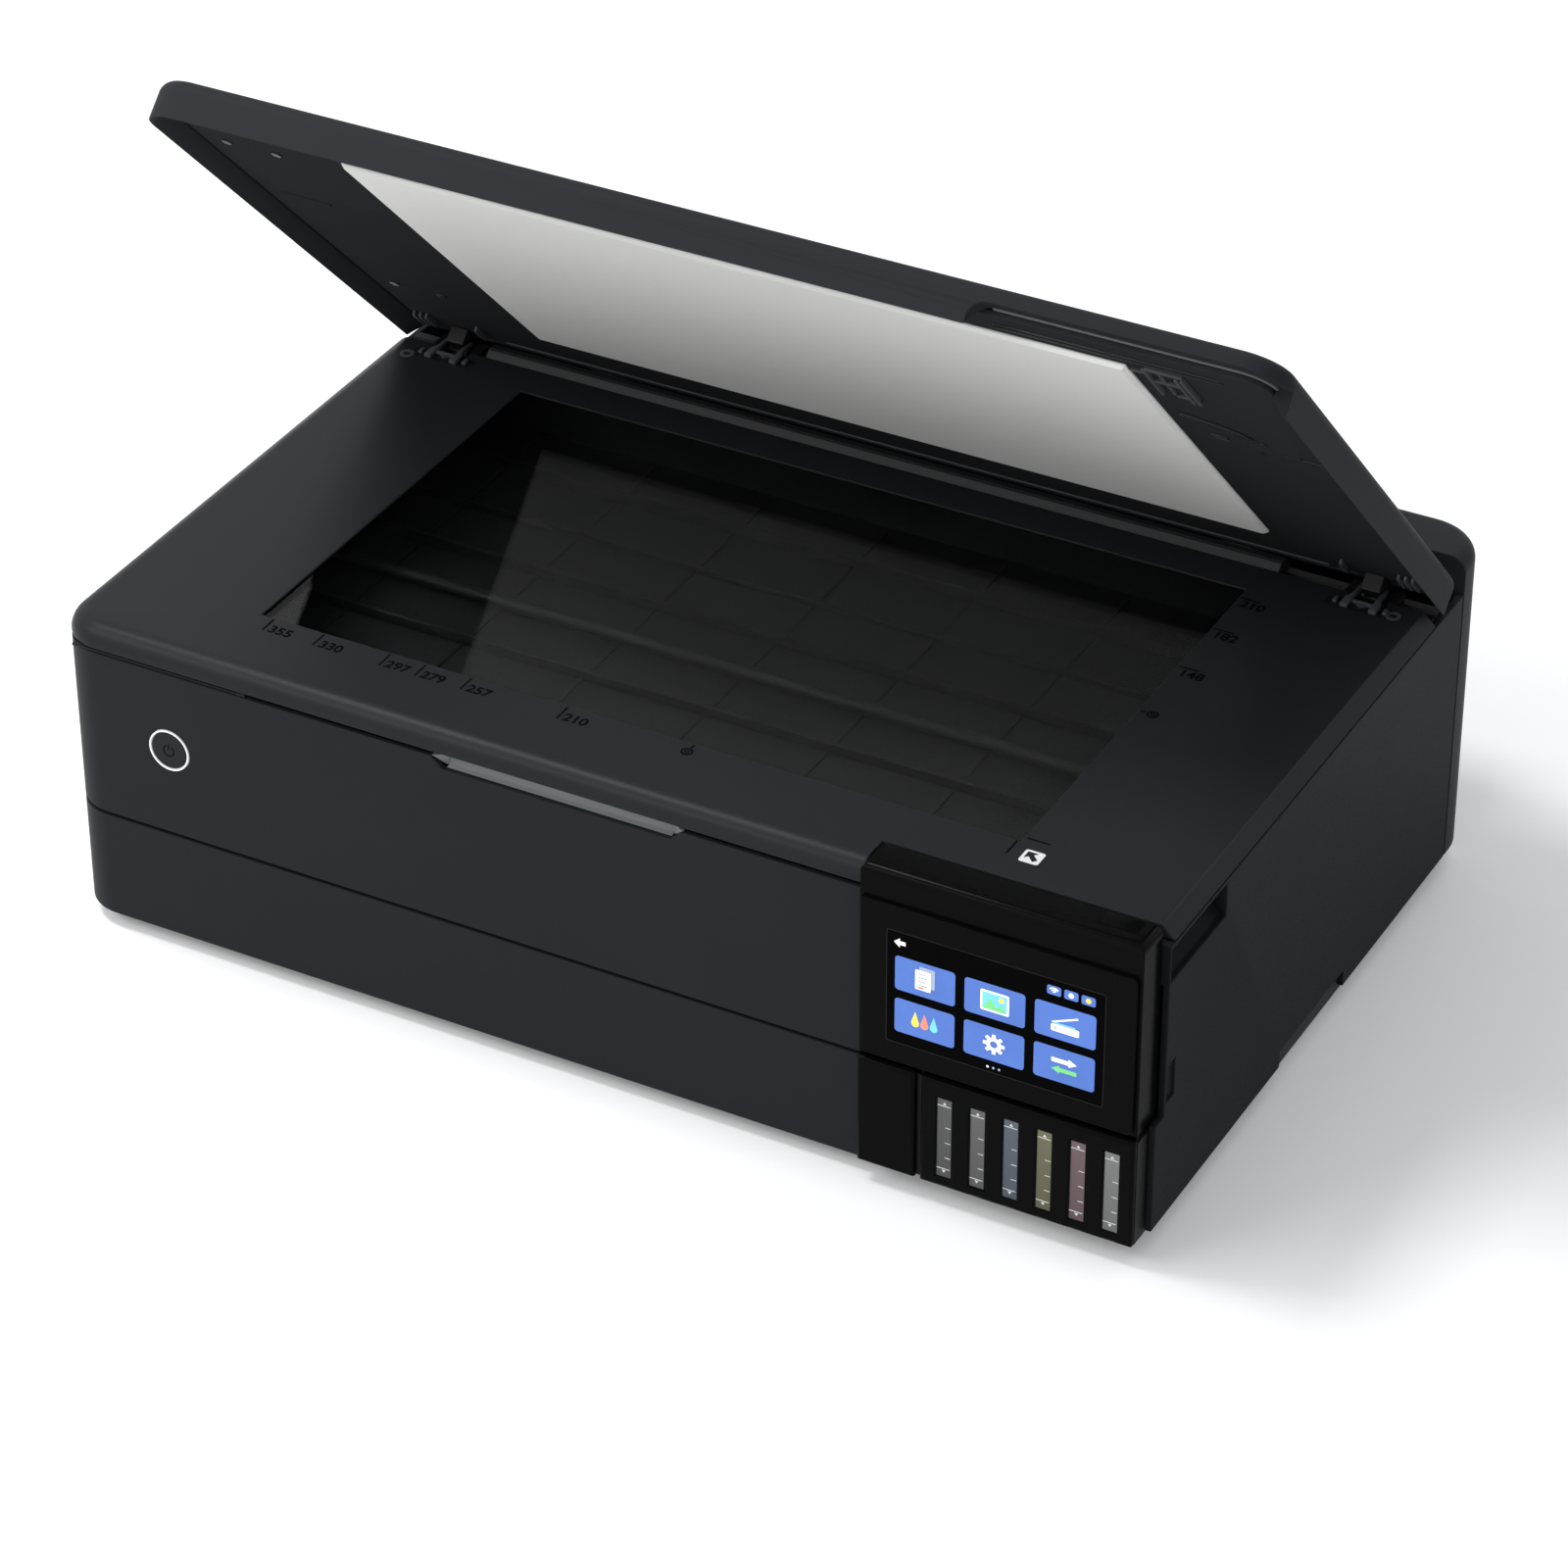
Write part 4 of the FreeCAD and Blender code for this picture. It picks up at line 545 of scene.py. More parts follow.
class PRINTER_OT_size_marks(PrinterOperator, bpy.types.Operator):
    """Paper-size ticks and numbers beside the glass, with the corner arrow"""

    bl_idname = "printer.size_marks"
    bl_label = "Size marks"

    FRONT = (("355", 355.6), ("330", 330.2), ("297", 297.0), ("279", 279.4), ("257", 257.0), ("210", 210.0))
    RIGHT = (("210", 210.0), ("182", 182.0), ("148", 148.0))
    DISC_FRONT = 149.5
    DISC_RIGHT = 109.2
    DISC_RINGS = ((1.9, 1.0, 40), (0.6, 0.8, 16))
    DISC_STEM = 2.6
    CORNER = (179.5, -139.5)
    FRONT_GAP, RIGHT_GAP = 1.0, 2.2
    CORNER_TICK = (178.7, -150.3, 10.4)
    CORNER_DASH = (182.0, -136.9, 10.1)
    PATCH = (189.6, -148.0)
    PATCH_HALF = 4.4
    ARROW = ((-3.0, 3.0), (1.6, 3.0), (0.1, 1.5), (3.0, -1.4), (1.4, -3.0), (-1.5, -0.1), (-3.0, -1.6))

    def execute(self, context):
        sizes = context.scene.printer_sizes
        thick = sizes.print_height / MM
        base, top = TOP_Z, TOP_Z + thick
        with piece("size_marks", "print_grey", "scanner_unit", "charcoal") as bm:
            self.marks(bm, sizes, base, thick)
        x, y = self.PATCH
        half = self.PATCH_HALF
        with piece("corner_patch", "print_white", "scanner_unit", "charcoal") as bm:
            prism(bm, rounded(x - half, y - half, x + half, y + half, 1.2), "xy", base, top)
        with piece("corner_arrow", "dark_plastic", "scanner_unit", "charcoal") as bm:
            prism(bm, [(x + a, y + b) for a, b in self.ARROW], "xy", top, top + thick)
        return {"FINISHED"}

    def marks(self, bm, sizes, base, thick):
        """Ticks and figures along the front and the right, and the two disc signs."""
        tick, line, figure = sizes.tick / MM, sizes.stroke / MM, sizes.digit / MM
        origin_x, origin_y = self.CORNER
        front, right = origin_y - self.FRONT_GAP, origin_x + self.RIGHT_GAP
        top = base + thick

        def bar(x, y, wide, tall):
            block(bm, (x, y, base), (x + wide, y + tall, top), 0)

        meshes = []
        for text, distance in self.FRONT:
            x = origin_x - distance
            bar(x, front - tick, line, tick)
            meshes.append(digits(text, figure, (x + 3 * line, front - tick), base, thick))
        for text, distance in self.RIGHT:
            y = origin_y + distance
            bar(right, y, tick, line)
            meshes.append(digits(text, figure, (right + 2 * line, y - figure * 0.82), base, thick))
        disc_x, disc_y = origin_x - self.DISC_FRONT, origin_y + self.DISC_RIGHT
        for spot in ((disc_x, front - tick * 0.62), (right + tick * 0.62, disc_y)):
            for radius, share, count in self.DISC_RINGS:
                band(bm, spot, radius, radius + line * share, "xy", base, top, count=count)
        bar(disc_x, front - self.DISC_STEM, line, self.DISC_STEM)
        bar(right, disc_y, self.DISC_STEM, line)
        x, y, reach = self.CORNER_TICK
        bar(x, y, line, reach)
        x, y, reach = self.CORNER_DASH
        bar(x, y, reach, line)
        for mesh in meshes:
            bm.from_mesh(mesh)
            bpy.data.meshes.remove(mesh)


class PRINTER_OT_scanner_details(PrinterOperator, bpy.types.Operator):
    """Rubber stops, ridge beads, floor ribs under the glass, and the sensor bar's lamp and spacers"""

    bl_idname = "printer.scanner_details"
    bl_label = "Scanner details"

    STOPS = ((245.4, 87.9), (-246.8, 83.5))
    STOP_INNER, STOP_OUTER, STOP_RISE = 1.7, 3.4, 0.3
    MIDDLE_BEAD, BEAD_WIDE = -3.4, 0.7
    LONG_RIBS = ((-112.0, 2.4), (-78.0, 5.0), (-14.0, 5.0), (22.0, 3.0), (58.0, 6.0))
    LONG_HALF, LONG_END = 1.1, 232.0
    CROSS_RIBS = range(-180, 181, 60)
    CROSS_HALF, CROSS_RISE = 0.8, 1.2
    CROSS_FRONT, CROSS_REAR = -150.0, 90.0
    TRAY_FLOOR = 2.5
    LAMP_INSET, LAMP_WIDE, LAMP_RISE = 4.0, 4.0, 0.25
    SPACER_SIDE, SPACER_END, SPACER_RADIUS, SPACER_RISE = 14.0, 12.0, 3.0, 0.3

    def execute(self, context):
        with piece("lid_stops", "rim", "scanner_unit", "rubber") as bm:
            for spot in self.STOPS:
                band(bm, spot, self.STOP_INNER, self.STOP_OUTER, "xy", TOP_Z - 2 * SINK,
                     TOP_Z + self.STOP_RISE)
        self.ridge_beads()
        self.tray_ribs()
        self.scan_bar()
        return {"FINISHED"}

    def ridge_beads(self):
        """Two beads along the ridge and three across its slope."""
        (left, front, _), (right, _, top) = low("hinge_ridge"), high("hinge_ridge")
        slope = [(front - 0.05, top - 5.1), (front + 4.8, top - 0.2), (front + 4.8, top + 0.15),
                 (front - 0.25, top - 4.9)]
        with piece("ridge_beads", "dark_plastic", "scanner_unit", "ridge_grey") as bm:
            for y, z, radius in ((front - 0.1, top - 5.4, 0.5), (front + 5.0, top, 0.35)):
                prism(bm, disc((y, z), radius, 10), "yz", left + 0.6, right - 0.6)
            for x in (left + 1.2, self.MIDDLE_BEAD, right - 1.8):
                prism(bm, slope, "yz", x, x + self.BEAD_WIDE)

    def tray_ribs(self):
        """Ribs along and across the floor under the glass."""
        floor, half, end = low("scanner_tray").z + self.TRAY_FLOOR, self.LONG_HALF, self.LONG_END
        with piece("tray_ribs", "dark_plastic", "scanner_unit", "dark_plastic") as bm:
            for y, height in self.LONG_RIBS:
                block(bm, (-end, y - half, floor), (end, y + half, floor + height), 0.5)
            rib_row(bm, self.CROSS_RIBS, self.CROSS_HALF, (self.CROSS_FRONT, floor),
                    (self.CROSS_REAR, floor + self.CROSS_RISE), 0.3)

    def scan_bar(self):
        """Lamp strip and two spacers on top of the sensor bar."""
        (x0, y0, _), (_, y1, top) = low("scan_bar"), high("scan_bar")
        inset, left = self.LAMP_INSET, x0 + self.LAMP_INSET
        with piece("scan_lamp", "print_white", "scan_bar", "dark_plastic") as bm:
            block(bm, (left, y0 + inset, top - SINK),
                  (left + self.LAMP_WIDE, y1 - inset, top + self.LAMP_RISE), 0.1)
        with piece("scan_bar_spacers", "dark_plastic", "scan_bar", "dark_plastic") as bm:
            for y in (y0 + self.SPACER_END, y1 - self.SPACER_END):
                spacer = disc((x0 + self.SPACER_SIDE, y), self.SPACER_RADIUS, 24)
                prism(bm, spacer, "xy", top - SINK, top + self.SPACER_RISE, 0.1)


class PRINTER_OT_hinges(PrinterOperator, bpy.types.Operator):
    """Hinge forks beside the lid's arms, each on a flat dark patch that paints the shade of its well, and the comb
    of ribs on the lid above them
    """

    bl_idname = "printer.hinges"
    bl_label = "Hinges"

    ARM = 4.9
    ARM_HALF = 4.5
    FRONT, REAR = 84.6, 104.0
    WELL, WELL_REAR = 15.5, 92.2
    LEG = ((ARM, FRONT), (8.4, FRONT), (8.4, 91.0), (6.7, 94.6), (6.4, REAR), (ARM, REAR))
    LUG, LUG_HALF = 11.6, 1.0
    LUG_FRONT, LUG_REAR = 86.4, 90.2
    BAR_FRONT, BAR_REAR = 89.4, 91.0
    POINT = ((-2.6, 89.5), (2.6, 89.5), (0.0, 86.9))
    COMB = (20.0, 16.6, 13.4, -13.4)
    COMB_HALF, COMB_END = 0.65, 251.0
    COMB_FRONT, COMB_REAR = 84.0, 99.6

    def execute(self, context):
        middle = high("lid_hinge_arms").x - self.ARM_HALF
        for side, way in (("left", -1), ("right", 1)):
            self.fork(side, way * middle)
            self.comb(side, way * middle, way)
        return {"FINISHED"}

    def fork(self, side, centre):
        """Two legs that narrow towards the pivot, joined by a bar, with a lug on each side."""
        base = TOP_Z + 0.06
        outline = rounded(centre - self.WELL, self.FRONT - 0.5, centre + self.WELL, self.WELL_REAR, 0.8)
        # A flat dark patch under each fork: painted shade where the hinge's well would be shaded.
        with piece(f"hinge_well_painted_shade_{side}", "cap_black", "scanner_unit", "dark_plastic") as bm:
            prism(bm, outline, "xy", TOP_Z - 2 * SINK, base)
        with piece(f"hinge_fork_{side}", "rim", "scanner_unit", "dark_plastic") as bm:
            for out in (-1, 1):
                prism(bm, [(centre + out * x, y) for x, y in self.LEG], "xy", base, base + 2.0, 0.3)
                lug = centre + out * self.LUG
                rib_row(bm, (lug,), self.LUG_HALF, (self.LUG_FRONT, base), (self.LUG_REAR, base + 1.4), 0.3)
            rib_row(bm, (centre,), self.ARM, (self.BAR_FRONT, base), (self.BAR_REAR, base + 1.5), 0.25)
            prism(bm, [(centre + x, y) for x, y in self.POINT], "xy", base, base + 1.1)

    def comb(self, side, centre, way):
        """Ribs that hang from the lid around its arm."""
        root, tip = LINER_Z + SINK, TOP_Z + 0.5
        front, rear = self.COMB_FRONT, self.COMB_REAR
        outline = [(front, root), (front + 0.6, tip + 0.5), (front + 2.0, tip), (rear - 2.0, tip),
                   (rear, root)]
        with piece(f"hinge_comb_{side}", "rim", "lid", "dark_plastic", LID) as bm:
            for offset in self.COMB:
                x = centre + way * offset
                if abs(x) < self.COMB_END:
                    prism(bm, outline, "yz", x - self.COMB_HALF, x + self.COMB_HALF, 0.2)


class PRINTER_OT_lid_details(PrinterOperator, bpy.types.Operator):
    """Clip bracket, ribs and steps moulded on the inside of the lid"""

    bl_idname = "printer.lid_details"
    bl_label = "Lid details"

    # Each rib: two corners of its plan and how far it hangs below the liner.
    BRACKET = ((196.0, -160.0, 197.6, -129.0, 2.0), (202.0, -159.0, 203.4, -131.0, 1.4),
               (209.5, -157.0, 211.0, -128.0, 2.3), (212.2, -157.0, 213.6, -128.0, 2.3),
               (196.0, -160.0, 213.6, -158.2, 1.6), (197.0, -147.0, 212.0, -145.2, 1.8),
               (203.0, -131.4, 213.6, -129.6, 1.5), (188.6, -153.0, 196.5, -151.6, 1.2))
    SHORT_RIBS = ((203.0, -81.2, 210.2, -79.6, 0.9), (203.0, -77.4, 210.2, -75.8, 0.9))
    STEP_RIBS = ((222.0, -76.0, 251.0, -74.4, 0.8), (222.0, -76.0, 223.2, -66.0, 0.8))
    FRONT_RIBS = ((133.0, -163.3, 232.0, -161.9, 0.7), (133.0, -167.5, 232.0, -166.5, 0.7))
    REAR_BEAD = (-207.0, 98.9, 207.0, 99.9, 0.6)
    CURVED_RIB = ((195.0, -101.2), (196.2, -103.0), (214.0, -97.0), (221.0, -92.4), (224.2, -88.2),
                  (223.0, -86.8), (218.0, -89.6), (212.0, -92.4))
    STUD = (226.8, -84.0)
    PADS = tuple((x, y) for x in (-215.0, -240.0) for y in (-140.0, 40.0))
    BEAD_CENTRE, BEAD_RADII = (241.5, -164.4), (14.0, 12.4)
    BEAD_START, BEAD_END, BEAD_Z = 136.0, -159.0, 161.0

    def execute(self, context):
        top = LINER_Z + SINK
        with piece("lid_clip_bracket", "rim", "lid", "dark_plastic", LID) as bm:
            self.ribs(bm, self.BRACKET, 0.25)
        with piece("lid_liner_ribs", "ridge_grey", "lid", "dark_plastic", LID) as bm:
            prism(bm, self.CURVED_RIB, "xy", LINER_Z - 1.3, top, 0.35)
            self.ribs(bm, self.SHORT_RIBS, 0.25)
            prism(bm, disc(self.STUD, 1.5, 20), "xy", LINER_Z - 0.8, top, 0.2)
            self.ribs(bm, self.STEP_RIBS, 0.3)
            for spot in self.PADS:
                prism(bm, disc(spot, 2.4, 24), "xy", LINER_Z - 0.7, top, 0.2)
        with piece("lid_front_ribs", "ridge_grey", "lid", "dark_plastic", LID) as bm:
            self.ribs(bm, self.FRONT_RIBS, 0.3)
        # A thin light strip along the liner's rear edge: a painted highlight for the light that edge catches.
        with piece("lid_rear_highlight_strip", "rim", "lid", "dark_plastic", LID) as bm:
            self.ribs(bm, (self.REAR_BEAD,), 0.25)
        self.corner_bead()
        return {"FINISHED"}

    def ribs(self, bm, ribs, rounding):
        """Straight ribs that hang below the liner."""
        for x0, y0, x1, y1, drop in ribs:
            block(bm, (x0, y0, LINER_Z - drop), (x1, y1, LINER_Z + SINK), rounding)

    def corner_bead(self):
        """Bead along the raised front edge, round the corner and down the side, in a light grey that paints the
        highlight on that edge.
        """
        (x, y), (outer, inner) = self.BEAD_CENTRE, self.BEAD_RADII
        outline = [(self.BEAD_START, y - outer), *arc((x, y), outer, -90, 0, 12), (x + outer, self.BEAD_END),
                   (x + inner, self.BEAD_END), *arc((x, y), inner, 0, -90, 12), (self.BEAD_START, y - inner)]
        with piece("lid_corner_bead", "bead", "lid", "charcoal", LID) as bm:
            prism(bm, outline, "xy", self.BEAD_Z - 0.7, self.BEAD_Z + SINK, 0.2)


class PRINTER_OT_front_details(PrinterOperator, bpy.types.Operator):
    """Finger notch, seam tab and power symbol of the front"""

    bl_idname = "printer.front_details"
    bl_label = "Front details"

    NOTCH_LEFT, NOTCH_RIGHT, NOTCH_SLANT = -65.2, 42.2, 6.2
    NOTCH_FLOOR, NOTCH_DEPTH, NOTCH_WALL = 137.9, 5.6, 1.2
    SEAM_Z = 143.0
    TAB_LEFT, TAB_RIGHT = -252.0, -166.0
    HOOK_LEFT, HOOK_RIGHT = -168.0, -163.6
    SYMBOL_INNER, SYMBOL_OUTER = 2.35, 2.9
    SYMBOL_FIRST, SYMBOL_LAST = 120.0, 420.0
    STROKE_HALF, STROKE_LOW, STROKE_HIGH = 0.28, 0.6, 3.4

    def execute(self, context):
        # The scoop takes the notch grey, which carries painted light falling into it.
        with piece("notch_scoop", "notch", "chassis", "charcoal") as bm:
            self.scoop(bm)
        with piece("seam_tab", "charcoal", "chassis", "charcoal") as bm:
            block(bm, (self.TAB_LEFT, FACE_Y + 1.0, self.SEAM_Z),
                  (self.TAB_RIGHT, FACE_Y + 3.0, self.SEAM_Z + 1.2))
            block(bm, (self.HOOK_LEFT, FACE_Y + 0.6, self.SEAM_Z),
                  (self.HOOK_RIGHT, FACE_Y + 3.0, self.SEAM_Z + 1.8), 0.4)
        x, _, z = (low("power_button") + high("power_button")) / 2
        near, far = FACE_Y - 0.06, FACE_Y + SINK
        with piece("power_symbol", "print_grey", "power_button", "button_black") as bm:
            band(bm, (x, z), self.SYMBOL_INNER, self.SYMBOL_OUTER, "xz", near, far,
                 self.SYMBOL_FIRST, self.SYMBOL_LAST, 36)
            rib_row(bm, (x,), self.STROKE_HALF, (near, z + self.STROKE_LOW), (far, z + self.STROKE_HIGH), 0)
        return {"FINISHED"}

    def scoop(self, bm):
        """Curved floor and back of the notch, with a slanted ramp at each end."""
        floor, back = self.NOTCH_FLOOR, FACE_Y + self.NOTCH_DEPTH
        rear = back + self.NOTCH_WALL
        outline = [(FACE_Y + 0.5, floor - 1.1), (FACE_Y + 0.35, floor - 0.5), (FACE_Y + 1.2, floor),
                   (back - 1.6, floor + 0.15), (back - 0.5, floor + 0.7), (back, floor + 2.2),
                   (back, floor + 7.1), (rear, floor + 7.1), (rear, floor - 1.1)]
        prism(bm, outline, "yz", self.NOTCH_LEFT, self.NOTCH_RIGHT, 0.15)
        for near, slant in ((self.NOTCH_LEFT, -self.NOTCH_SLANT), (self.NOTCH_RIGHT, self.NOTCH_SLANT)):
            self.ramp(bm, ((near, back - 0.4, floor - 0.6), (near, back - 0.4, floor + 5.1),
                           (near + slant, FACE_Y + 0.8, floor + 5.1)), rear)

    def ramp(self, bm, front, rear):
        """A slanted end of the notch, between a triangle in front and a flat back."""
        near = [bm.verts.new(point) for point in front]
        away = [bm.verts.new((x, rear, z)) for x, _, z in front]
        bm.faces.new(near)
        bm.faces.new(reversed(away))
        for index in range(len(front)):
            after = (index + 1) % len(front)
            bm.faces.new((near[after], near[index], away[index], away[after]))


class PRINTER_OT_control_panel(PrinterOperator, bpy.types.Operator):
    """Screen cover with a lit display of plain pictogram tiles, hinge cap and side seal"""

    bl_idname = "printer.control_panel"
    bl_label = "Control panel"

    DISPLAY = (145.6, 76.0, 243.4, 131.5)
    DISPLAY_RIM = 0.3
    GRID = (149.6, 82.0, 239.4, 119.6)
    COLUMNS, ROWS = 3, 2
    SET_BACK = 0.25
    LAYER = 0.06
    FACE_DEPTH = 0.00001
    CAP_LEFT, CAP_RIGHT, CAP_FRONT, CAP_REAR = 24.0, 7.0, 10.0, 18.6
    SEAL_WIDE, SEAL_DROP = 3.5, 24.0
    STATUS_DROP = 5.4
    SIGNAL_ARCS = ((0.5, 0.9), (1.3, 1.8), (2.2, 2.8))
    DOT_PITCH, DOT_RADIUS = 2.6, 0.55
    SWAP_ARROW = ((-5.6, 1.2), (2.0, 1.2), (2.0, 0.2), (5.6, 2.2), (2.0, 4.2), (2.0, 3.2), (-5.6, 3.2))
    BACK_ARROW = ((3.4, 0.0), (6.0, 2.2), (6.0, 0.9), (8.6, 0.9), (8.6, -0.9), (6.0, -0.9), (6.0, -2.2))

    def execute(self, context):
        sizes = context.scene.printer_sizes
        soften_node("touch_screen", "screen_black", sizes.edge * 0.6, sizes.rounding, self.sink_face)
        self.sheets = {}
        self.spot = (0.0, 0.0)
        x0, z0, x1, z1 = self.DISPLAY
        rim = self.DISPLAY_RIM
        self.lay("dark_plastic", rounded(x0, z0, x1, z1, 1.0), 0)
        self.lay("display", rounded(x0 + rim, z0 + rim, x1 - rim, z1 - rim, 0.8), 0.4)
        self.tiles(sizes.tile_gap / MM)
        self.status()
        for finish, bm in self.sheets.items():
            place(f"display_{finish}", bm, finish, "control_panel")
        self.surround()
        return {"FINISHED"}

    def sink_face(self, bm):
        """Set the cover's front face back, to leave room for the display's layers."""
        front = min(vertex.co.y for vertex in bm.verts)
        for vertex in bm.verts:
            if vertex.co.y < front + self.FACE_DEPTH:
                vertex.co.y += self.SET_BACK * MM

    def surround(self):
        """Cap over the panel's hinge, and the seal behind the panel's right edge."""
        (_, _, base), (right, rear, top) = low("panel_case"), high("panel_case")
        with piece("panel_hinge_cap", "gloss_black", "control_panel", "gloss_black") as bm:
            x0, x1, front = right - self.CAP_LEFT, right - self.CAP_RIGHT, UNIT_Y + self.CAP_FRONT
            block(bm, (x0, front, top - 2 * SINK), (x1, UNIT_Y + self.CAP_REAR, top + 0.2), 0.15)
            block(bm, (x0 + 1.4, front + 1.2, top + 0.1), (x1 - 1.4, front + 2.0, top + 0.3), 0.08)
        with piece("panel_side_seal", "display", "chassis", "gloss_black") as bm:
            block(bm, (right - self.SEAL_WIDE, rear + 1.3, base + 1.5),
                  (right + SINK, rear + 3.0, top - self.SEAL_DROP), 0.2)

    def lay(self, finish, outline, layer):
        """One flat shape around the current spot, in front of the layers below it."""
        if finish not in self.sheets:
            self.sheets[finish] = bmesh.new()
        x, z = self.spot
        back = UNIT_Y + self.SET_BACK - 0.01 - layer * self.LAYER
        prism(self.sheets[finish], [(x + a, z + b) for a, b in outline], "xz", back - self.LAYER, back)

    def tiles(self, gap):
        """A grid of tiles, each with a pictogram."""
        x0, z0, x1, z1 = self.GRID
        wide = (x1 - x0 - (self.COLUMNS - 1) * gap) / self.COLUMNS
        tall = (z1 - z0 - (self.ROWS - 1) * gap) / self.ROWS
        icons = (self.page, self.picture, self.flatbed, self.drops, self.gear, self.swap)
        for number, icon in enumerate(icons):
            row, column = divmod(number, self.COLUMNS)
            self.spot = (x0 + column * (wide + gap) + wide / 2, z1 - row * (tall + gap) - tall / 2)
            self.lay("tile", rounded(-wide / 2, -tall / 2, wide / 2, tall / 2, 1.6), 1)
            icon()

    def page(self):
        """Two sheets of paper with lines."""
        for finish, shift, layer in (("dim", 1.8, 2), ("paper", 0.0, 2.4)):
            self.lay(finish, rounded(shift - 4.4, shift - 5.2, shift + 2.6, shift + 4.4, 0.4), layer)
        for number in range(4):
            end = 1.5 if number % 2 else 0.4
            base = 2.4 - 1.9 * number
            self.lay("dim", rounded(-3.3, base, end, base + 0.6, 0.25, 2), 2.8)
        self.lay("coral", rounded(-3.3, -4.6, -0.6, -3.7, 0.2, 2), 2.8)

    def picture(self):
        """A framed view of two hills under a sun."""
        self.lay("paper", rounded(-6.4, -5.0, 6.4, 5.0, 0.7), 2)
        self.lay("sky", rounded(-5.5, -4.1, 5.5, 4.1, 0.3), 2.4)
        self.lay("sun", disc((3.0, 1.9), 1.2, 20), 2.8)
        self.lay("leaf", [(-5.5, -4.1), (2.2, -4.1), (-1.9, 1.6)], 2.7)
        self.lay("leaf", [(-0.4, -4.1), (5.5, -4.1), (2.7, -0.6)], 2.8)

    def flatbed(self):
        """A flatbed with its lid open."""
        self.lay("paper", rounded(-6.2, -4.6, 6.2, -1.2, 0.7), 2)
        self.lay("paper", [(-6.0, -0.2), (-5.4, -0.7), (5.8, 4.0), (5.4, 4.7)], 2)
        self.lay("sky", rounded(-4.6, -0.9, 4.6, -0.3, 0.25, 2), 2.4)
        self.lay("dim", disc((-4.4, -2.9), 0.7, 14), 2.4)

    def drops(self):
        """Three drops of ink."""
        turns = [math.radians(degrees) for degrees in range(30, -211, -15)]
        for shift, finish in ((-4.2, "sun"), (0.0, "coral"), (4.2, "sky")):
            belly = [(shift + 1.75 * math.cos(turn), 1.9 * math.sin(turn) - 1.6) for turn in turns]
            self.lay(finish, [(shift, 4.0), *belly], 2)

    def gear(self):
        """A gear with eight teeth."""
        tooth = ((-14, 3.4), (-9, 4.9), (9, 4.9), (14, 3.4))
        outline = [polar((0.0, 0.0), radius, start + angle)
                   for start in range(0, 360, 45) for angle, radius in tooth]
        self.lay("paper", outline, 2)
        self.lay("tile", disc((0.0, 0.0), 1.7, 24), 2.4)

    def swap(self):
        """Two arrows that point opposite ways."""
        for way, finish in ((1, "paper"), (-1, "leaf")):
            self.lay(finish, [(way * x, way * z) for x, z in self.SWAP_ARROW], 2)

    def status(self):
        """Three signs at the top right, the page dots below and the back arrow at the top left."""
        x0, z0, x1, z1 = self.DISPLAY
        self.spot = (x1, z1 - self.STATUS_DROP)
        for number in range(3):
            left = 7.6 * number - 26.0
            self.lay("tile", rounded(left, -2.2, left + 6.2, 2.2, 0.9), 1)
        for inner, outer in self.SIGNAL_ARCS:
            centre = (-22.9, -1.4)
            self.lay("paper", arc(centre, outer, 45, 135, 8) + arc(centre, inner, 135, 45, 8), 2)
        self.lay("paper", disc((-15.3, 0.0), 1.2, 18), 2)
        self.lay("sun", disc((-7.7, 0.0), 1.2, 18), 2)
        self.spot = ((x0 + x1) / 2, z0)
        for x, finish in zip(row(0.0, 3, self.DOT_PITCH), ("paper", "dim", "dim")):
            self.lay(finish, disc((x, self.DOT_PITCH), self.DOT_RADIUS, 14), 1)
        self.spot = (x0, z1 - self.STATUS_DROP)
        self.lay("paper", self.BACK_ARROW, 1)


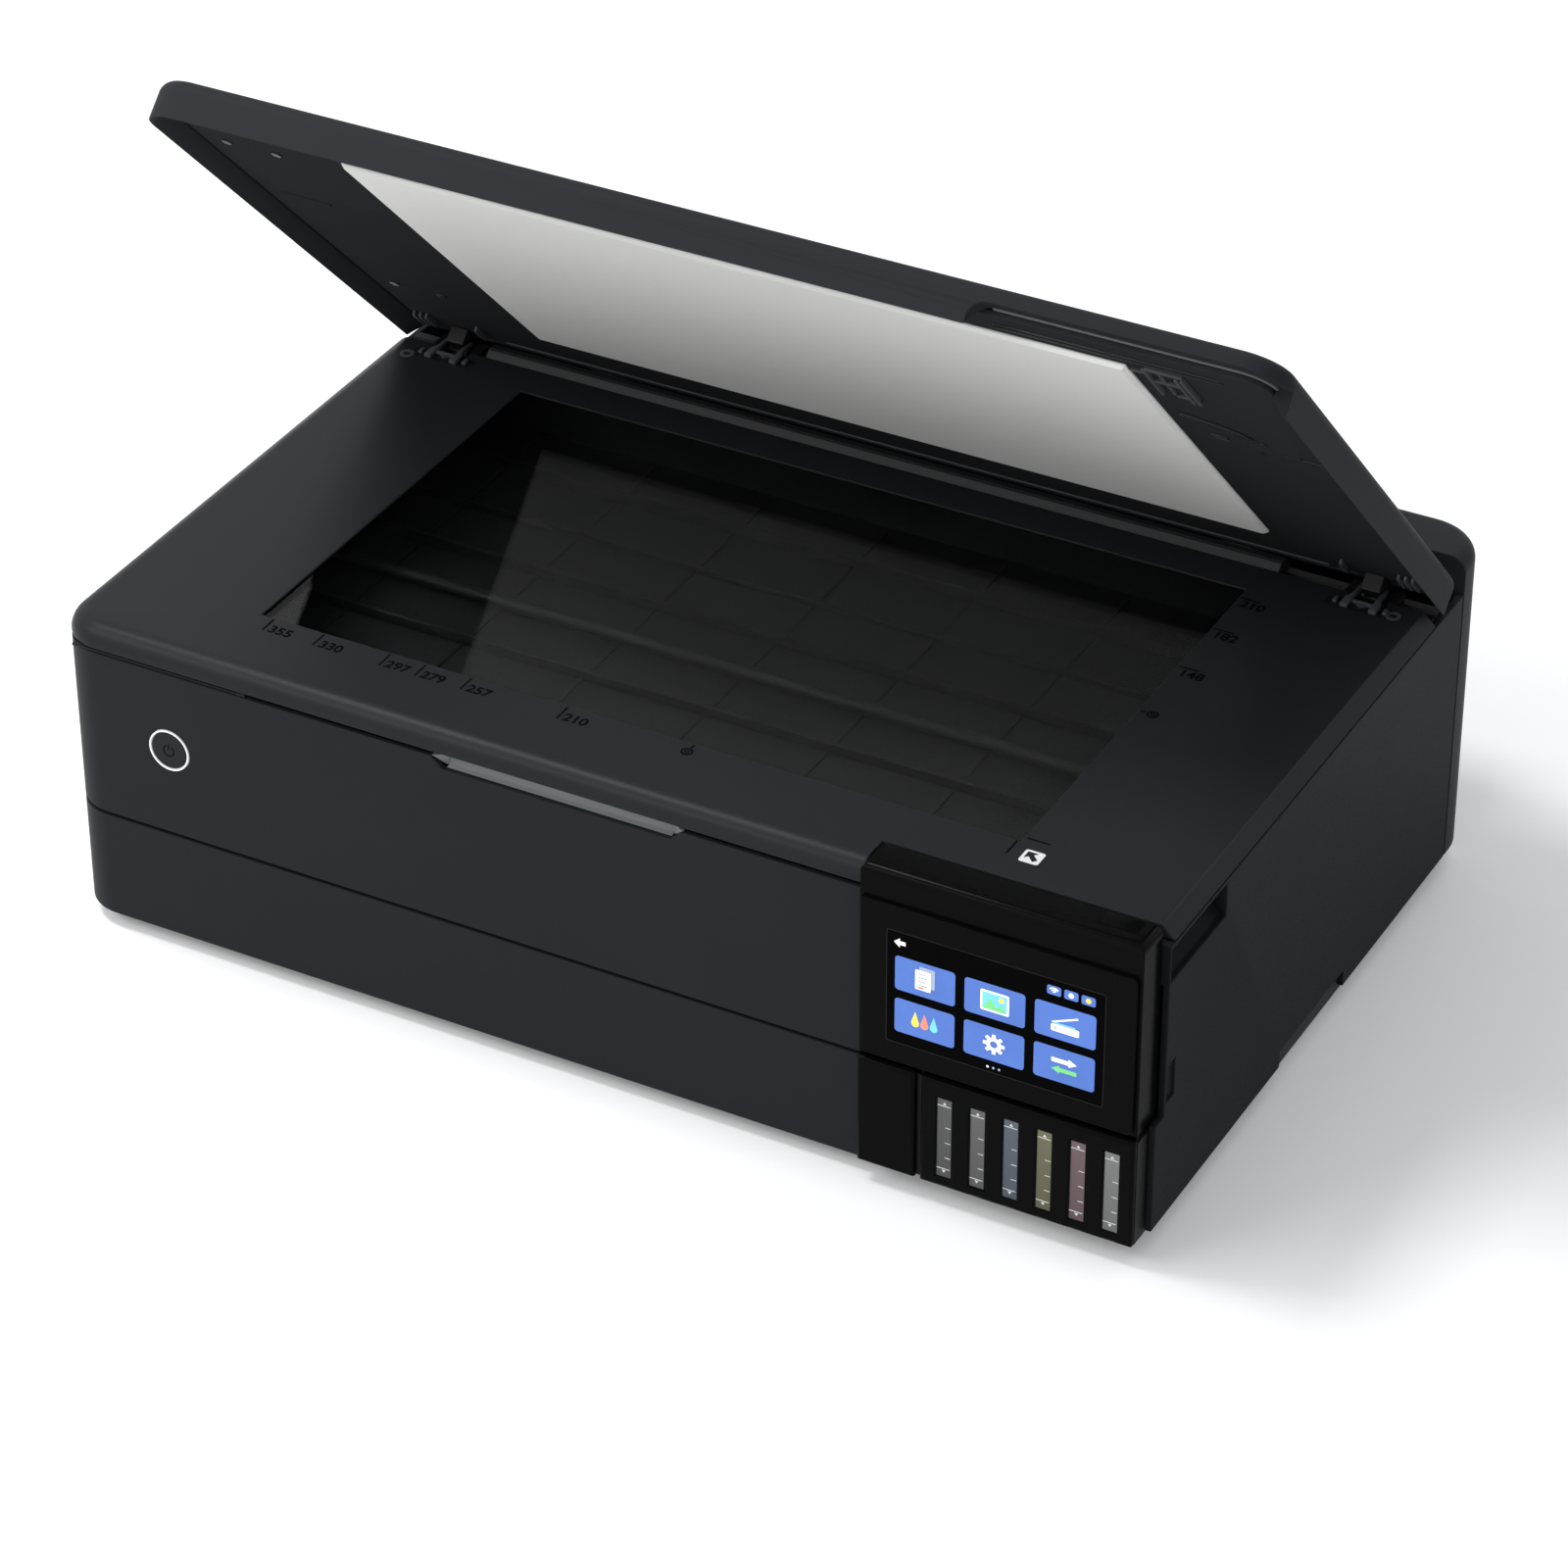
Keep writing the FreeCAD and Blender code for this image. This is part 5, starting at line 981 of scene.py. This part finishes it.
class PRINTER_OT_ink_windows(PrinterOperator, bpy.types.Operator):
    """Level marks, inner rims and finger lips of the six ink windows, and a near-black strip above them that
    paints the shade in the seam
    """

    bl_idname = "printer.ink_windows"
    bl_label = "Ink windows"

    WINDOWS = 6
    FIRST, PITCH, WIDE = 168.9, 15.12, 7.7
    LOW, HIGH = 14.4, 55.4
    PANE = 0.6
    LEVELS = (24.8, 32.4, 40.2)
    LIP_LOW, LIP_HIGH = 10.4, 13.2

    def execute(self, context):
        lefts = [self.FIRST + number * self.PITCH for number in range(self.WINDOWS)]
        for name, finish, draw in (("level_marks", "print_white", self.marks),
                                   ("window_rims", "gloss_black", self.rim),
                                   ("window_lips", "ridge_grey", self.lips)):
            with piece(name, finish, "chassis", "gloss_black") as bm:
                for left in lefts:
                    draw(bm, left, left + self.WIDE)
        (_, front, _), (_, _, base) = low("tank_housing"), high("tank_housing")
        left, right = low("tank_trim_panel").x + 0.6, high("tank_window_panel").x - 0.6
        # A near-black strip that fills the seam between the tank housing and the panel: painted shade of the gap.
        with piece("seam_shade_strip", "display", "chassis", "gloss_black") as bm:
            block(bm, (left, front, base), (right, front + 2.0, low("panel_case").z - 0.6), 0.2)
        return {"FINISHED"}

    def marks(self, bm, left, right):
        """Full and empty lines with their pointers, and three short lines between."""
        near, far = UNIT_Y + self.PANE - 0.08, UNIT_Y + self.PANE + 0.02
        for z, edge, way in ((self.HIGH - 4.4, 0.35, 1), (self.LOW + 4.6, 0.0, -1)):
            block(bm, (left + 0.6, near, z), (left + 0.85 * (right - left), far, z + 0.35), 0)
            foot, tip = z + edge + way * 0.5, z + edge + way * 1.9
            prism(bm, [(left + 3.0, foot), (left + 4.7, foot), (left + 3.85, tip)], "xz", near, far)
        for z in self.LEVELS:
            block(bm, (left + 4.2, near, z), (left + 6.7, far, z + 0.32), 0)

    def rim(self, bm, left, right):
        """Four bars that frame a window."""
        near, far = UNIT_Y + self.PANE - 0.3, UNIT_Y + self.PANE + 0.3
        base, top = self.LOW, self.HIGH
        for x0, z0, x1, z1 in ((left, base, left + 0.55, top), (right - 0.55, base, right, top),
                               (left, base, right, base + 0.6), (left, top - 0.6, right, top)):
            block(bm, (x0, near, z0), (x1, far, z1), 0.12)

    def lips(self, bm, left, right):
        """A finger lip below a window and a thin one above it."""
        below = rounded(left + 0.3, self.LIP_LOW, right - 0.3, self.LIP_HIGH, 1.2)
        above = rounded(left + 1.0, self.HIGH + 1.0, right - 1.0, self.HIGH + 2.2, 0.5)
        prism(bm, below, "xz", UNIT_Y + 0.05, UNIT_Y + 0.7, 0.25)
        prism(bm, above, "xz", UNIT_Y + 0.1, UNIT_Y + 0.6, 0.15)


class PRINTER_OT_rear_details(PrinterOperator, bpy.types.Operator):
    """Louvres, screws, socket contacts, grips and the feed cover's tab"""

    bl_idname = "printer.rear_details"
    bl_label = "Rear details"

    VENTS = ((-232.0, 66.0, -202.0, 128.0), (200.0, 108.0, 232.0, 146.0))
    SCREWS = ((-226.0, 20.0), (226.0, 20.0), (-226.0, 150.0), (226.0, 96.0), (0.0, 20.0), (-120.0, 150.0),
              (120.0, 150.0))
    GRIPS, GRIP_PITCH, GRIP_HALF = 7, 9.0, 2.2
    SIDE_GRIP = (72.0, 98.0)
    PIN_APART, PIN_RADIUS = 4.2, 0.95
    PORTS = (9.0, 27.0)
    CONTACTS, CONTACT_PITCH = 6, 1.3
    TAB_HALF, TAB_RIBS, TAB_PITCH, TAB_RIB_HALF = 22.0, 9, 4.5, 0.5

    def execute(self, context):
        sizes = context.scene.printer_sizes
        screw = sizes.screw / MM
        with piece("rear_louvres", "dark_plastic", "chassis", "charcoal") as bm:
            for vent in self.VENTS:
                self.louvre(bm, sizes.vent / MM, *vent)
        with piece("rear_screws", "steel", "chassis", "steel") as bm:
            for spot in self.SCREWS:
                screw_head(bm, spot, screw, "xz", REAR_Y - SINK, REAR_Y + 1.2)
        with piece("screw_wells", "charcoal", "chassis", "charcoal") as bm:
            for spot in self.SCREWS:
                band(bm, spot, screw + 0.3, screw + 1.1, "xz", REAR_Y - SINK, REAR_Y + 0.4)
        with piece("jam_cover_grips", "charcoal", "chassis", "charcoal") as bm:
            self.grips(bm)
        with piece("socket_contacts", "steel", "chassis", "steel") as bm:
            self.contacts(bm)
        with piece("feed_cover_tab", "dark_plastic", "rear_feed_cover", "charcoal") as bm:
            self.feed_tab(bm)
        return {"FINISHED"}

    def louvre(self, bm, slot, x0, z0, x1, z1):
        """A plate with a row of slanted slats."""
        prism(bm, rounded(x0 - 2.0, z0 - 2.0, x1 + 2.0, z1 + 2.0, 2.0), "xz", REAR_Y - 0.2, REAR_Y + 0.25)
        count = int((z1 - z0) / (2 * slot))
        for number in range(count + 1):
            z = z0 + number * (z1 - z0 - slot) / count
            slat = [(REAR_Y, z), (REAR_Y + 1.3, z + 0.3), (REAR_Y + 1.1, z + slot * 0.6), (REAR_Y, z + slot)]
            prism(bm, slat, "yz", x0, x1, 0.2)

    def grips(self, bm):
        """Ribs on the jam cover's top and a finger pad at each side."""
        top, side = high("rear_jam_cover").z, high("rear_jam_cover").x
        rib_row(bm, row(0.0, self.GRIPS, self.GRIP_PITCH), self.GRIP_HALF, (REAR_Y + 5.0, top - 0.2),
                (REAR_Y + 16.0, top + 1.0), 0.5)
        pad = rounded(REAR_Y + 4.0, self.SIDE_GRIP[0], REAR_Y + 17.0, self.SIDE_GRIP[1], 3.0)
        prism(bm, pad, "yz", -side - 1.4, -side + 0.3, 0.4)
        prism(bm, pad, "yz", side - 0.3, side + 1.4, 0.4)

    def contacts(self, bm):
        """Two pins in the power inlet, and a tongue with a row of contacts in each data port."""
        middle, _, z = (low("power_inlet") + high("power_inlet")) / 2
        for x in row(middle, 2, self.PIN_APART):
            prism(bm, disc((x, z), self.PIN_RADIUS, 18), "xz", REAR_Y + 0.9, REAR_Y + 5.0, 0.3)
        (x0, _, z0), (x1, _, _) = low("data_ports"), high("data_ports")
        for z in (z0 + height for height in self.PORTS):
            block(bm, (x0 + 5.5, REAR_Y + 0.9, z - 1.0), (x1 - 5.5, REAR_Y + 4.2, z + 1.0), 0.2)
            for number in range(self.CONTACTS):
                x = x0 + 5.6 + number * self.CONTACT_PITCH
                block(bm, (x, REAR_Y + 0.9, z + 3.2), (x + 0.5, REAR_Y + 4.6, z + 3.8), 0.1)

    def feed_tab(self, bm):
        """A ribbed tab at the front edge of the rear feed cover."""
        (x0, front, _), (x1, _, top) = low("rear_feed_cover"), high("rear_feed_cover")
        middle, half = (x0 + x1) / 2, self.TAB_HALF
        tab = rounded(middle - half, front + 1.2, middle + half, front + 4.6, 1.6)
        prism(bm, tab, "xy", top - 0.9, top + 0.02, 0.25)
        rib_row(bm, row(middle, self.TAB_RIBS, self.TAB_PITCH), self.TAB_RIB_HALF, (front + 1.8, top - 0.4),
                (front + 4.0, top + 0.35), 0.15)


class PRINTER_OT_underside(PrinterOperator, bpy.types.Operator):
    """Foot rims, screws, floor ribs and a bare plate under the case"""

    bl_idname = "printer.underside"
    bl_label = "Underside"

    FEET = tuple((x, y) for x in (-193.5, 227.5) for y in (-128.0, 126.0))
    SCREWS = ((-240.0, -150.0), (240.0, -70.0), (-240.0, 140.0), (240.0, 140.0), (0.0, 145.0), (0.0, -60.0))
    LENGTH_RIBS = range(-200, 221, 60)
    WIDTH_RIBS = (-110.0, 0.0, 118.0)
    RIB_HALF = 1.2
    RIB_LEFT, RIB_RIGHT, RIB_FRONT, RIB_REAR = -200.0, 220.0, -110.0, 120.0
    RIM_INNER, RIM_OUTER, RIM_DROP = 9.3, 11.2, 1.6
    PLATE = (-74.0, 22.0, -26.0, 66.0)

    def execute(self, context):
        screw = context.scene.printer_sizes.screw / MM
        base, half = low("bottom_case").z, self.RIB_HALF
        with piece("foot_rims", "dark_plastic", "chassis", "dark_plastic") as bm:
            for spot in self.FEET:
                band(bm, spot, self.RIM_INNER, self.RIM_OUTER, "xy", base - self.RIM_DROP, base)
        with piece("base_screws", "steel", "chassis", "steel") as bm:
            for spot in self.SCREWS:
                screw_head(bm, spot, screw, "xy", base + SINK, base - 1.0)
        with piece("base_ribs", "dark_plastic", "chassis", "dark_plastic") as bm:
            rib_row(bm, self.LENGTH_RIBS, half, (self.RIB_FRONT, base - 1.0),
                    (self.RIB_REAR, base + SINK), 0.4)
            for y in self.WIDTH_RIBS:
                block(bm, (self.RIB_LEFT, y - half, base - 1.0), (self.RIB_RIGHT, y + half, base + SINK), 0.4)
        with piece("base_plate", "side", "chassis", "dark_plastic") as bm:
            prism(bm, rounded(*self.PLATE, 3.0), "xy", base - 0.7, base + SINK, 0.2)
        return {"FINISHED"}


class PRINTER_OT_paper_path(PrinterOperator, bpy.types.Operator):
    """Ribs of the output tray, its pull-out and the carriage cover"""

    bl_idname = "printer.paper_path"
    bl_label = "Paper path"

    RIB_HALF = 0.6
    EXTENSION_RIBS, EXTENSION_EDGE, PULL_HALF = 9, 12.0, 24.0
    COVER_RIBS, COVER_PITCH, COVER_MIDDLE, COVER_HALF = 6, 8.4, 28.0, 1.6

    def execute(self, context):
        half = self.RIB_HALF
        (x0, y0, _), (x1, y1, top) = low("output_tray"), high("output_tray")
        with piece("output_tray_ribs", "dark_plastic", "output_tray", "dark_plastic") as bm:
            rib_row(bm, (x0 + 4.0, x0 + 9.0, x1 - 9.0, x1 - 4.0), half, (y0 + 2.0, top - SINK),
                    (y1 - 4.0, top + 0.5), 0.2)
        self.extension()
        self.carriage()
        return {"FINISHED"}

    def extension(self):
        """Ribs and a finger pull on the tray's pull-out."""
        half, edge = self.RIB_HALF, self.EXTENSION_EDGE
        (x0, y0, _), (x1, y1, top) = low("tray_extension"), high("tray_extension")
        middle, pitch = (x0 + x1) / 2, (x1 - x0 - 2 * edge) / (self.EXTENSION_RIBS - 1)
        with piece("extension_ribs", "dark_plastic", "tray_extension", "dark_plastic") as bm:
            rib_row(bm, row(middle, self.EXTENSION_RIBS, pitch), half, (y0 + 6.0, top - SINK),
                    (y1 - 6.0, top + 0.45), 0.2)
            pull = rounded(middle - self.PULL_HALF, y0 + 0.6, middle + self.PULL_HALF, y0 + 4.6, 1.8)
            prism(bm, pull, "xy", top - SINK, top + 0.6, 0.2)

    def carriage(self):
        """Ribbed cover over the print carriage."""
        (x0, y0, _), (x1, _, top) = low("print_carriage"), high("print_carriage")
        with piece("carriage_cover", "cap_black", "print_carriage", "dark_plastic") as bm:
            prism(bm, rounded(x0 + 2.0, y0 + 2.0, x1 - 2.0, y0 + 46.0, 3.0), "xy", top - 0.2, top + 1.6, 0.5)
            rib_row(bm, row(x0 + self.COVER_MIDDLE, self.COVER_RIBS, self.COVER_PITCH), self.COVER_HALF,
                    (y0 + 8.0, top + 1.5), (y0 + 36.0, top + 2.4), 0.4)


class PRINTER_OT_stage(PrinterOperator, bpy.types.Operator):
    """Pale floor, soft lights and the camera"""

    bl_idname = "printer.stage"
    bl_label = "Stage"

    FLOOR_HALF = 6.0
    FLOOR_COLOUR = (0.93, 0.93, 0.93)
    FLOOR_LIFT = 0.14
    SKY_COLOUR = (0.95, 0.97, 1.0, 1)
    SKY_STRENGTH = 0.48
    WHITE = (1, 1, 1, 1)
    AIM = Vector((0.0, -0.03, 0.10))
    # Each light: its place in metres, its width and height, and its power in watts.
    LIGHTS = {"key_softbox": ((-1.2, -1.3, 1.5), 1.5, 0.5, 17.0),
              "rear_softbox": ((0.5, 1.9, 2.0), 1.6, 1.6, 9.0),
              "top_softbox": ((-0.95, -0.25, 2.0), 0.6, 0.6, 24.0),
              "side_softbox": ((2.4, -0.8, 1.5), 1.2, 1.2, 1.0),
              "front_softbox": ((0.0, -2.6, 0.5), 1.6, 1.6, 8.0)}
    CAMERA_SPOT = (0.979963, -1.812581, 1.425359)
    AZIMUTH, ELEVATION, ROLL = (math.radians(angle) for angle in (28.491, 33.859, -0.168))
    SENSOR = 36.0
    FAR_CLIP = 50.0

    def execute(self, context):
        scene = context.scene
        scene.view_settings.view_transform = "Standard"
        bm = bmesh.new()
        bmesh.ops.create_grid(bm, x_segments=2, y_segments=2, size=self.FLOOR_HALF)
        mesh = bpy.data.meshes.new("studio_floor")
        bm.to_mesh(mesh)
        bm.free()
        floor = bpy.data.objects.new("studio_floor", mesh)
        scene.collection.objects.link(floor)
        mesh.materials.append(self.paper())
        self.lights(scene)
        self.world(scene)
        self.camera(scene)
        return {"FINISHED"}

    def lights(self, scene):
        """Soft rectangular lights, all aimed at the printer."""
        for name, (spot, wide, tall, power) in self.LIGHTS.items():
            lamp = bpy.data.lights.new(name, "AREA")
            lamp.shape = "RECTANGLE"
            lamp.size = wide
            lamp.size_y = tall
            lamp.energy = power
            thing = bpy.data.objects.new(name, lamp)
            thing.location = spot
            thing.rotation_euler = (self.AIM - Vector(spot)).to_track_quat("-Z", "Y").to_euler()
            scene.collection.objects.link(thing)

    def seen(self, tree):
        """One for rays that show the background: to the camera, off gloss and through glass."""
        path = tree.nodes.new("ShaderNodeLightPath")
        seen = path.outputs["Is Camera Ray"]
        for ray in ("Is Glossy Ray", "Is Transmission Ray"):
            either = tree.nodes.new("ShaderNodeMath")
            either.operation = "MAXIMUM"
            tree.links.new(seen, either.inputs[0])
            tree.links.new(path.outputs[ray], either.inputs[1])
            seen = either.outputs[0]
        return seen

    def paper(self):
        """White floor paper, lifted a little for the rays that show the background."""
        material = moulded("studio_paper", self.FLOOR_COLOUR, 0.8, 0.1, 0.004, 0.00001, 0.01)
        tree = material.node_tree
        lift = tree.nodes.new("ShaderNodeMath")
        lift.operation = "MULTIPLY"
        lift.inputs[1].default_value = self.FLOOR_LIFT
        tree.links.new(self.seen(tree), lift.inputs[0])
        shader = tree.nodes["Principled BSDF"]
        shader.inputs["Emission Color"].default_value = self.WHITE
        tree.links.new(lift.outputs[0], shader.inputs["Emission Strength"])
        return material

    def world(self, scene):
        """Dim even light from all round, and white where the background is seen."""
        world = bpy.data.worlds.new("studio_world")
        scene.world = world
        world.use_nodes = True
        tree = world.node_tree
        tree.nodes.clear()
        light, white, mix, out = (tree.nodes.new(f"ShaderNode{kind}") for kind in
                                  ("Background", "Background", "MixShader", "OutputWorld"))
        light.inputs["Color"].default_value = self.SKY_COLOUR
        light.inputs["Strength"].default_value = self.SKY_STRENGTH
        white.inputs["Color"].default_value = self.WHITE
        white.inputs["Strength"].default_value = 1.0
        tree.links.new(self.seen(tree), mix.inputs["Fac"])
        tree.links.new(light.outputs[0], mix.inputs[1])
        tree.links.new(white.outputs[0], mix.inputs[2])
        tree.links.new(mix.outputs[0], out.inputs["Surface"])

    def camera(self, scene):
        """The camera at the photograph's place, turned by its azimuth, elevation and roll."""
        level = math.cos(self.ELEVATION)
        back = Vector((math.sin(self.AZIMUTH) * level, -math.cos(self.AZIMUTH) * level,
                       math.sin(self.ELEVATION)))
        right = Vector((0, 0, 1)).cross(back).normalized()
        up = back.cross(right)
        turned_right = right * math.cos(self.ROLL) + up * math.sin(self.ROLL)
        turned_up = up * math.cos(self.ROLL) - right * math.sin(self.ROLL)
        turn = Matrix((turned_right, turned_up, back)).transposed().to_4x4()
        lens = bpy.data.cameras.new("photo_camera")
        lens.sensor_fit = "HORIZONTAL"
        lens.sensor_width = self.SENSOR
        lens.lens = scene.printer_sizes.lens
        lens.clip_end = self.FAR_CLIP
        camera = bpy.data.objects.new("photo_camera", lens)
        camera.matrix_world = Matrix.Translation(self.CAMERA_SPOT) @ turn
        scene.collection.objects.link(camera)
        scene.camera = camera


OPERATORS = (PRINTER_OT_finishes, PRINTER_OT_mouldings, PRINTER_OT_size_marks, PRINTER_OT_scanner_details,
             PRINTER_OT_hinges, PRINTER_OT_lid_details, PRINTER_OT_front_details, PRINTER_OT_control_panel,
             PRINTER_OT_ink_windows, PRINTER_OT_rear_details, PRINTER_OT_underside, PRINTER_OT_paper_path,
             PRINTER_OT_stage)


class PRINTER_PT_panel(bpy.types.Panel):
    """Sidebar panel that lists the printer's pieces"""

    bl_idname = "PRINTER_PT_panel"
    bl_label = "Printer"
    bl_space_type = "VIEW_3D"
    bl_region_type = "UI"
    bl_category = "Printer"

    def draw(self, context):
        for group in (context.scene.printer_sizes, context.scene.printer_colours):
            for item in type(group).__annotations__:
                self.layout.prop(group, item)
        for operator in OPERATORS:
            self.layout.operator(operator.bl_idname)


CLASSES = (PrinterSizes, PrinterColours, *OPERATORS, PRINTER_PT_panel)


def register():
    """Register the classes and their settings."""
    for item in CLASSES:
        bpy.utils.register_class(item)
    bpy.types.Scene.printer_sizes = PointerProperty(type=PrinterSizes)
    bpy.types.Scene.printer_colours = PointerProperty(type=PrinterColours)


def unregister():
    """Remove the classes and their settings."""
    del bpy.types.Scene.printer_colours
    del bpy.types.Scene.printer_sizes
    for item in reversed(CLASSES):
        bpy.utils.unregister_class(item)


def main():
    """Build every piece in order."""
    register()
    for operator in OPERATORS:
        group, name = operator.bl_idname.split(".")
        getattr(getattr(bpy.ops, group), name)()


if __name__ == "__main__":
    main()
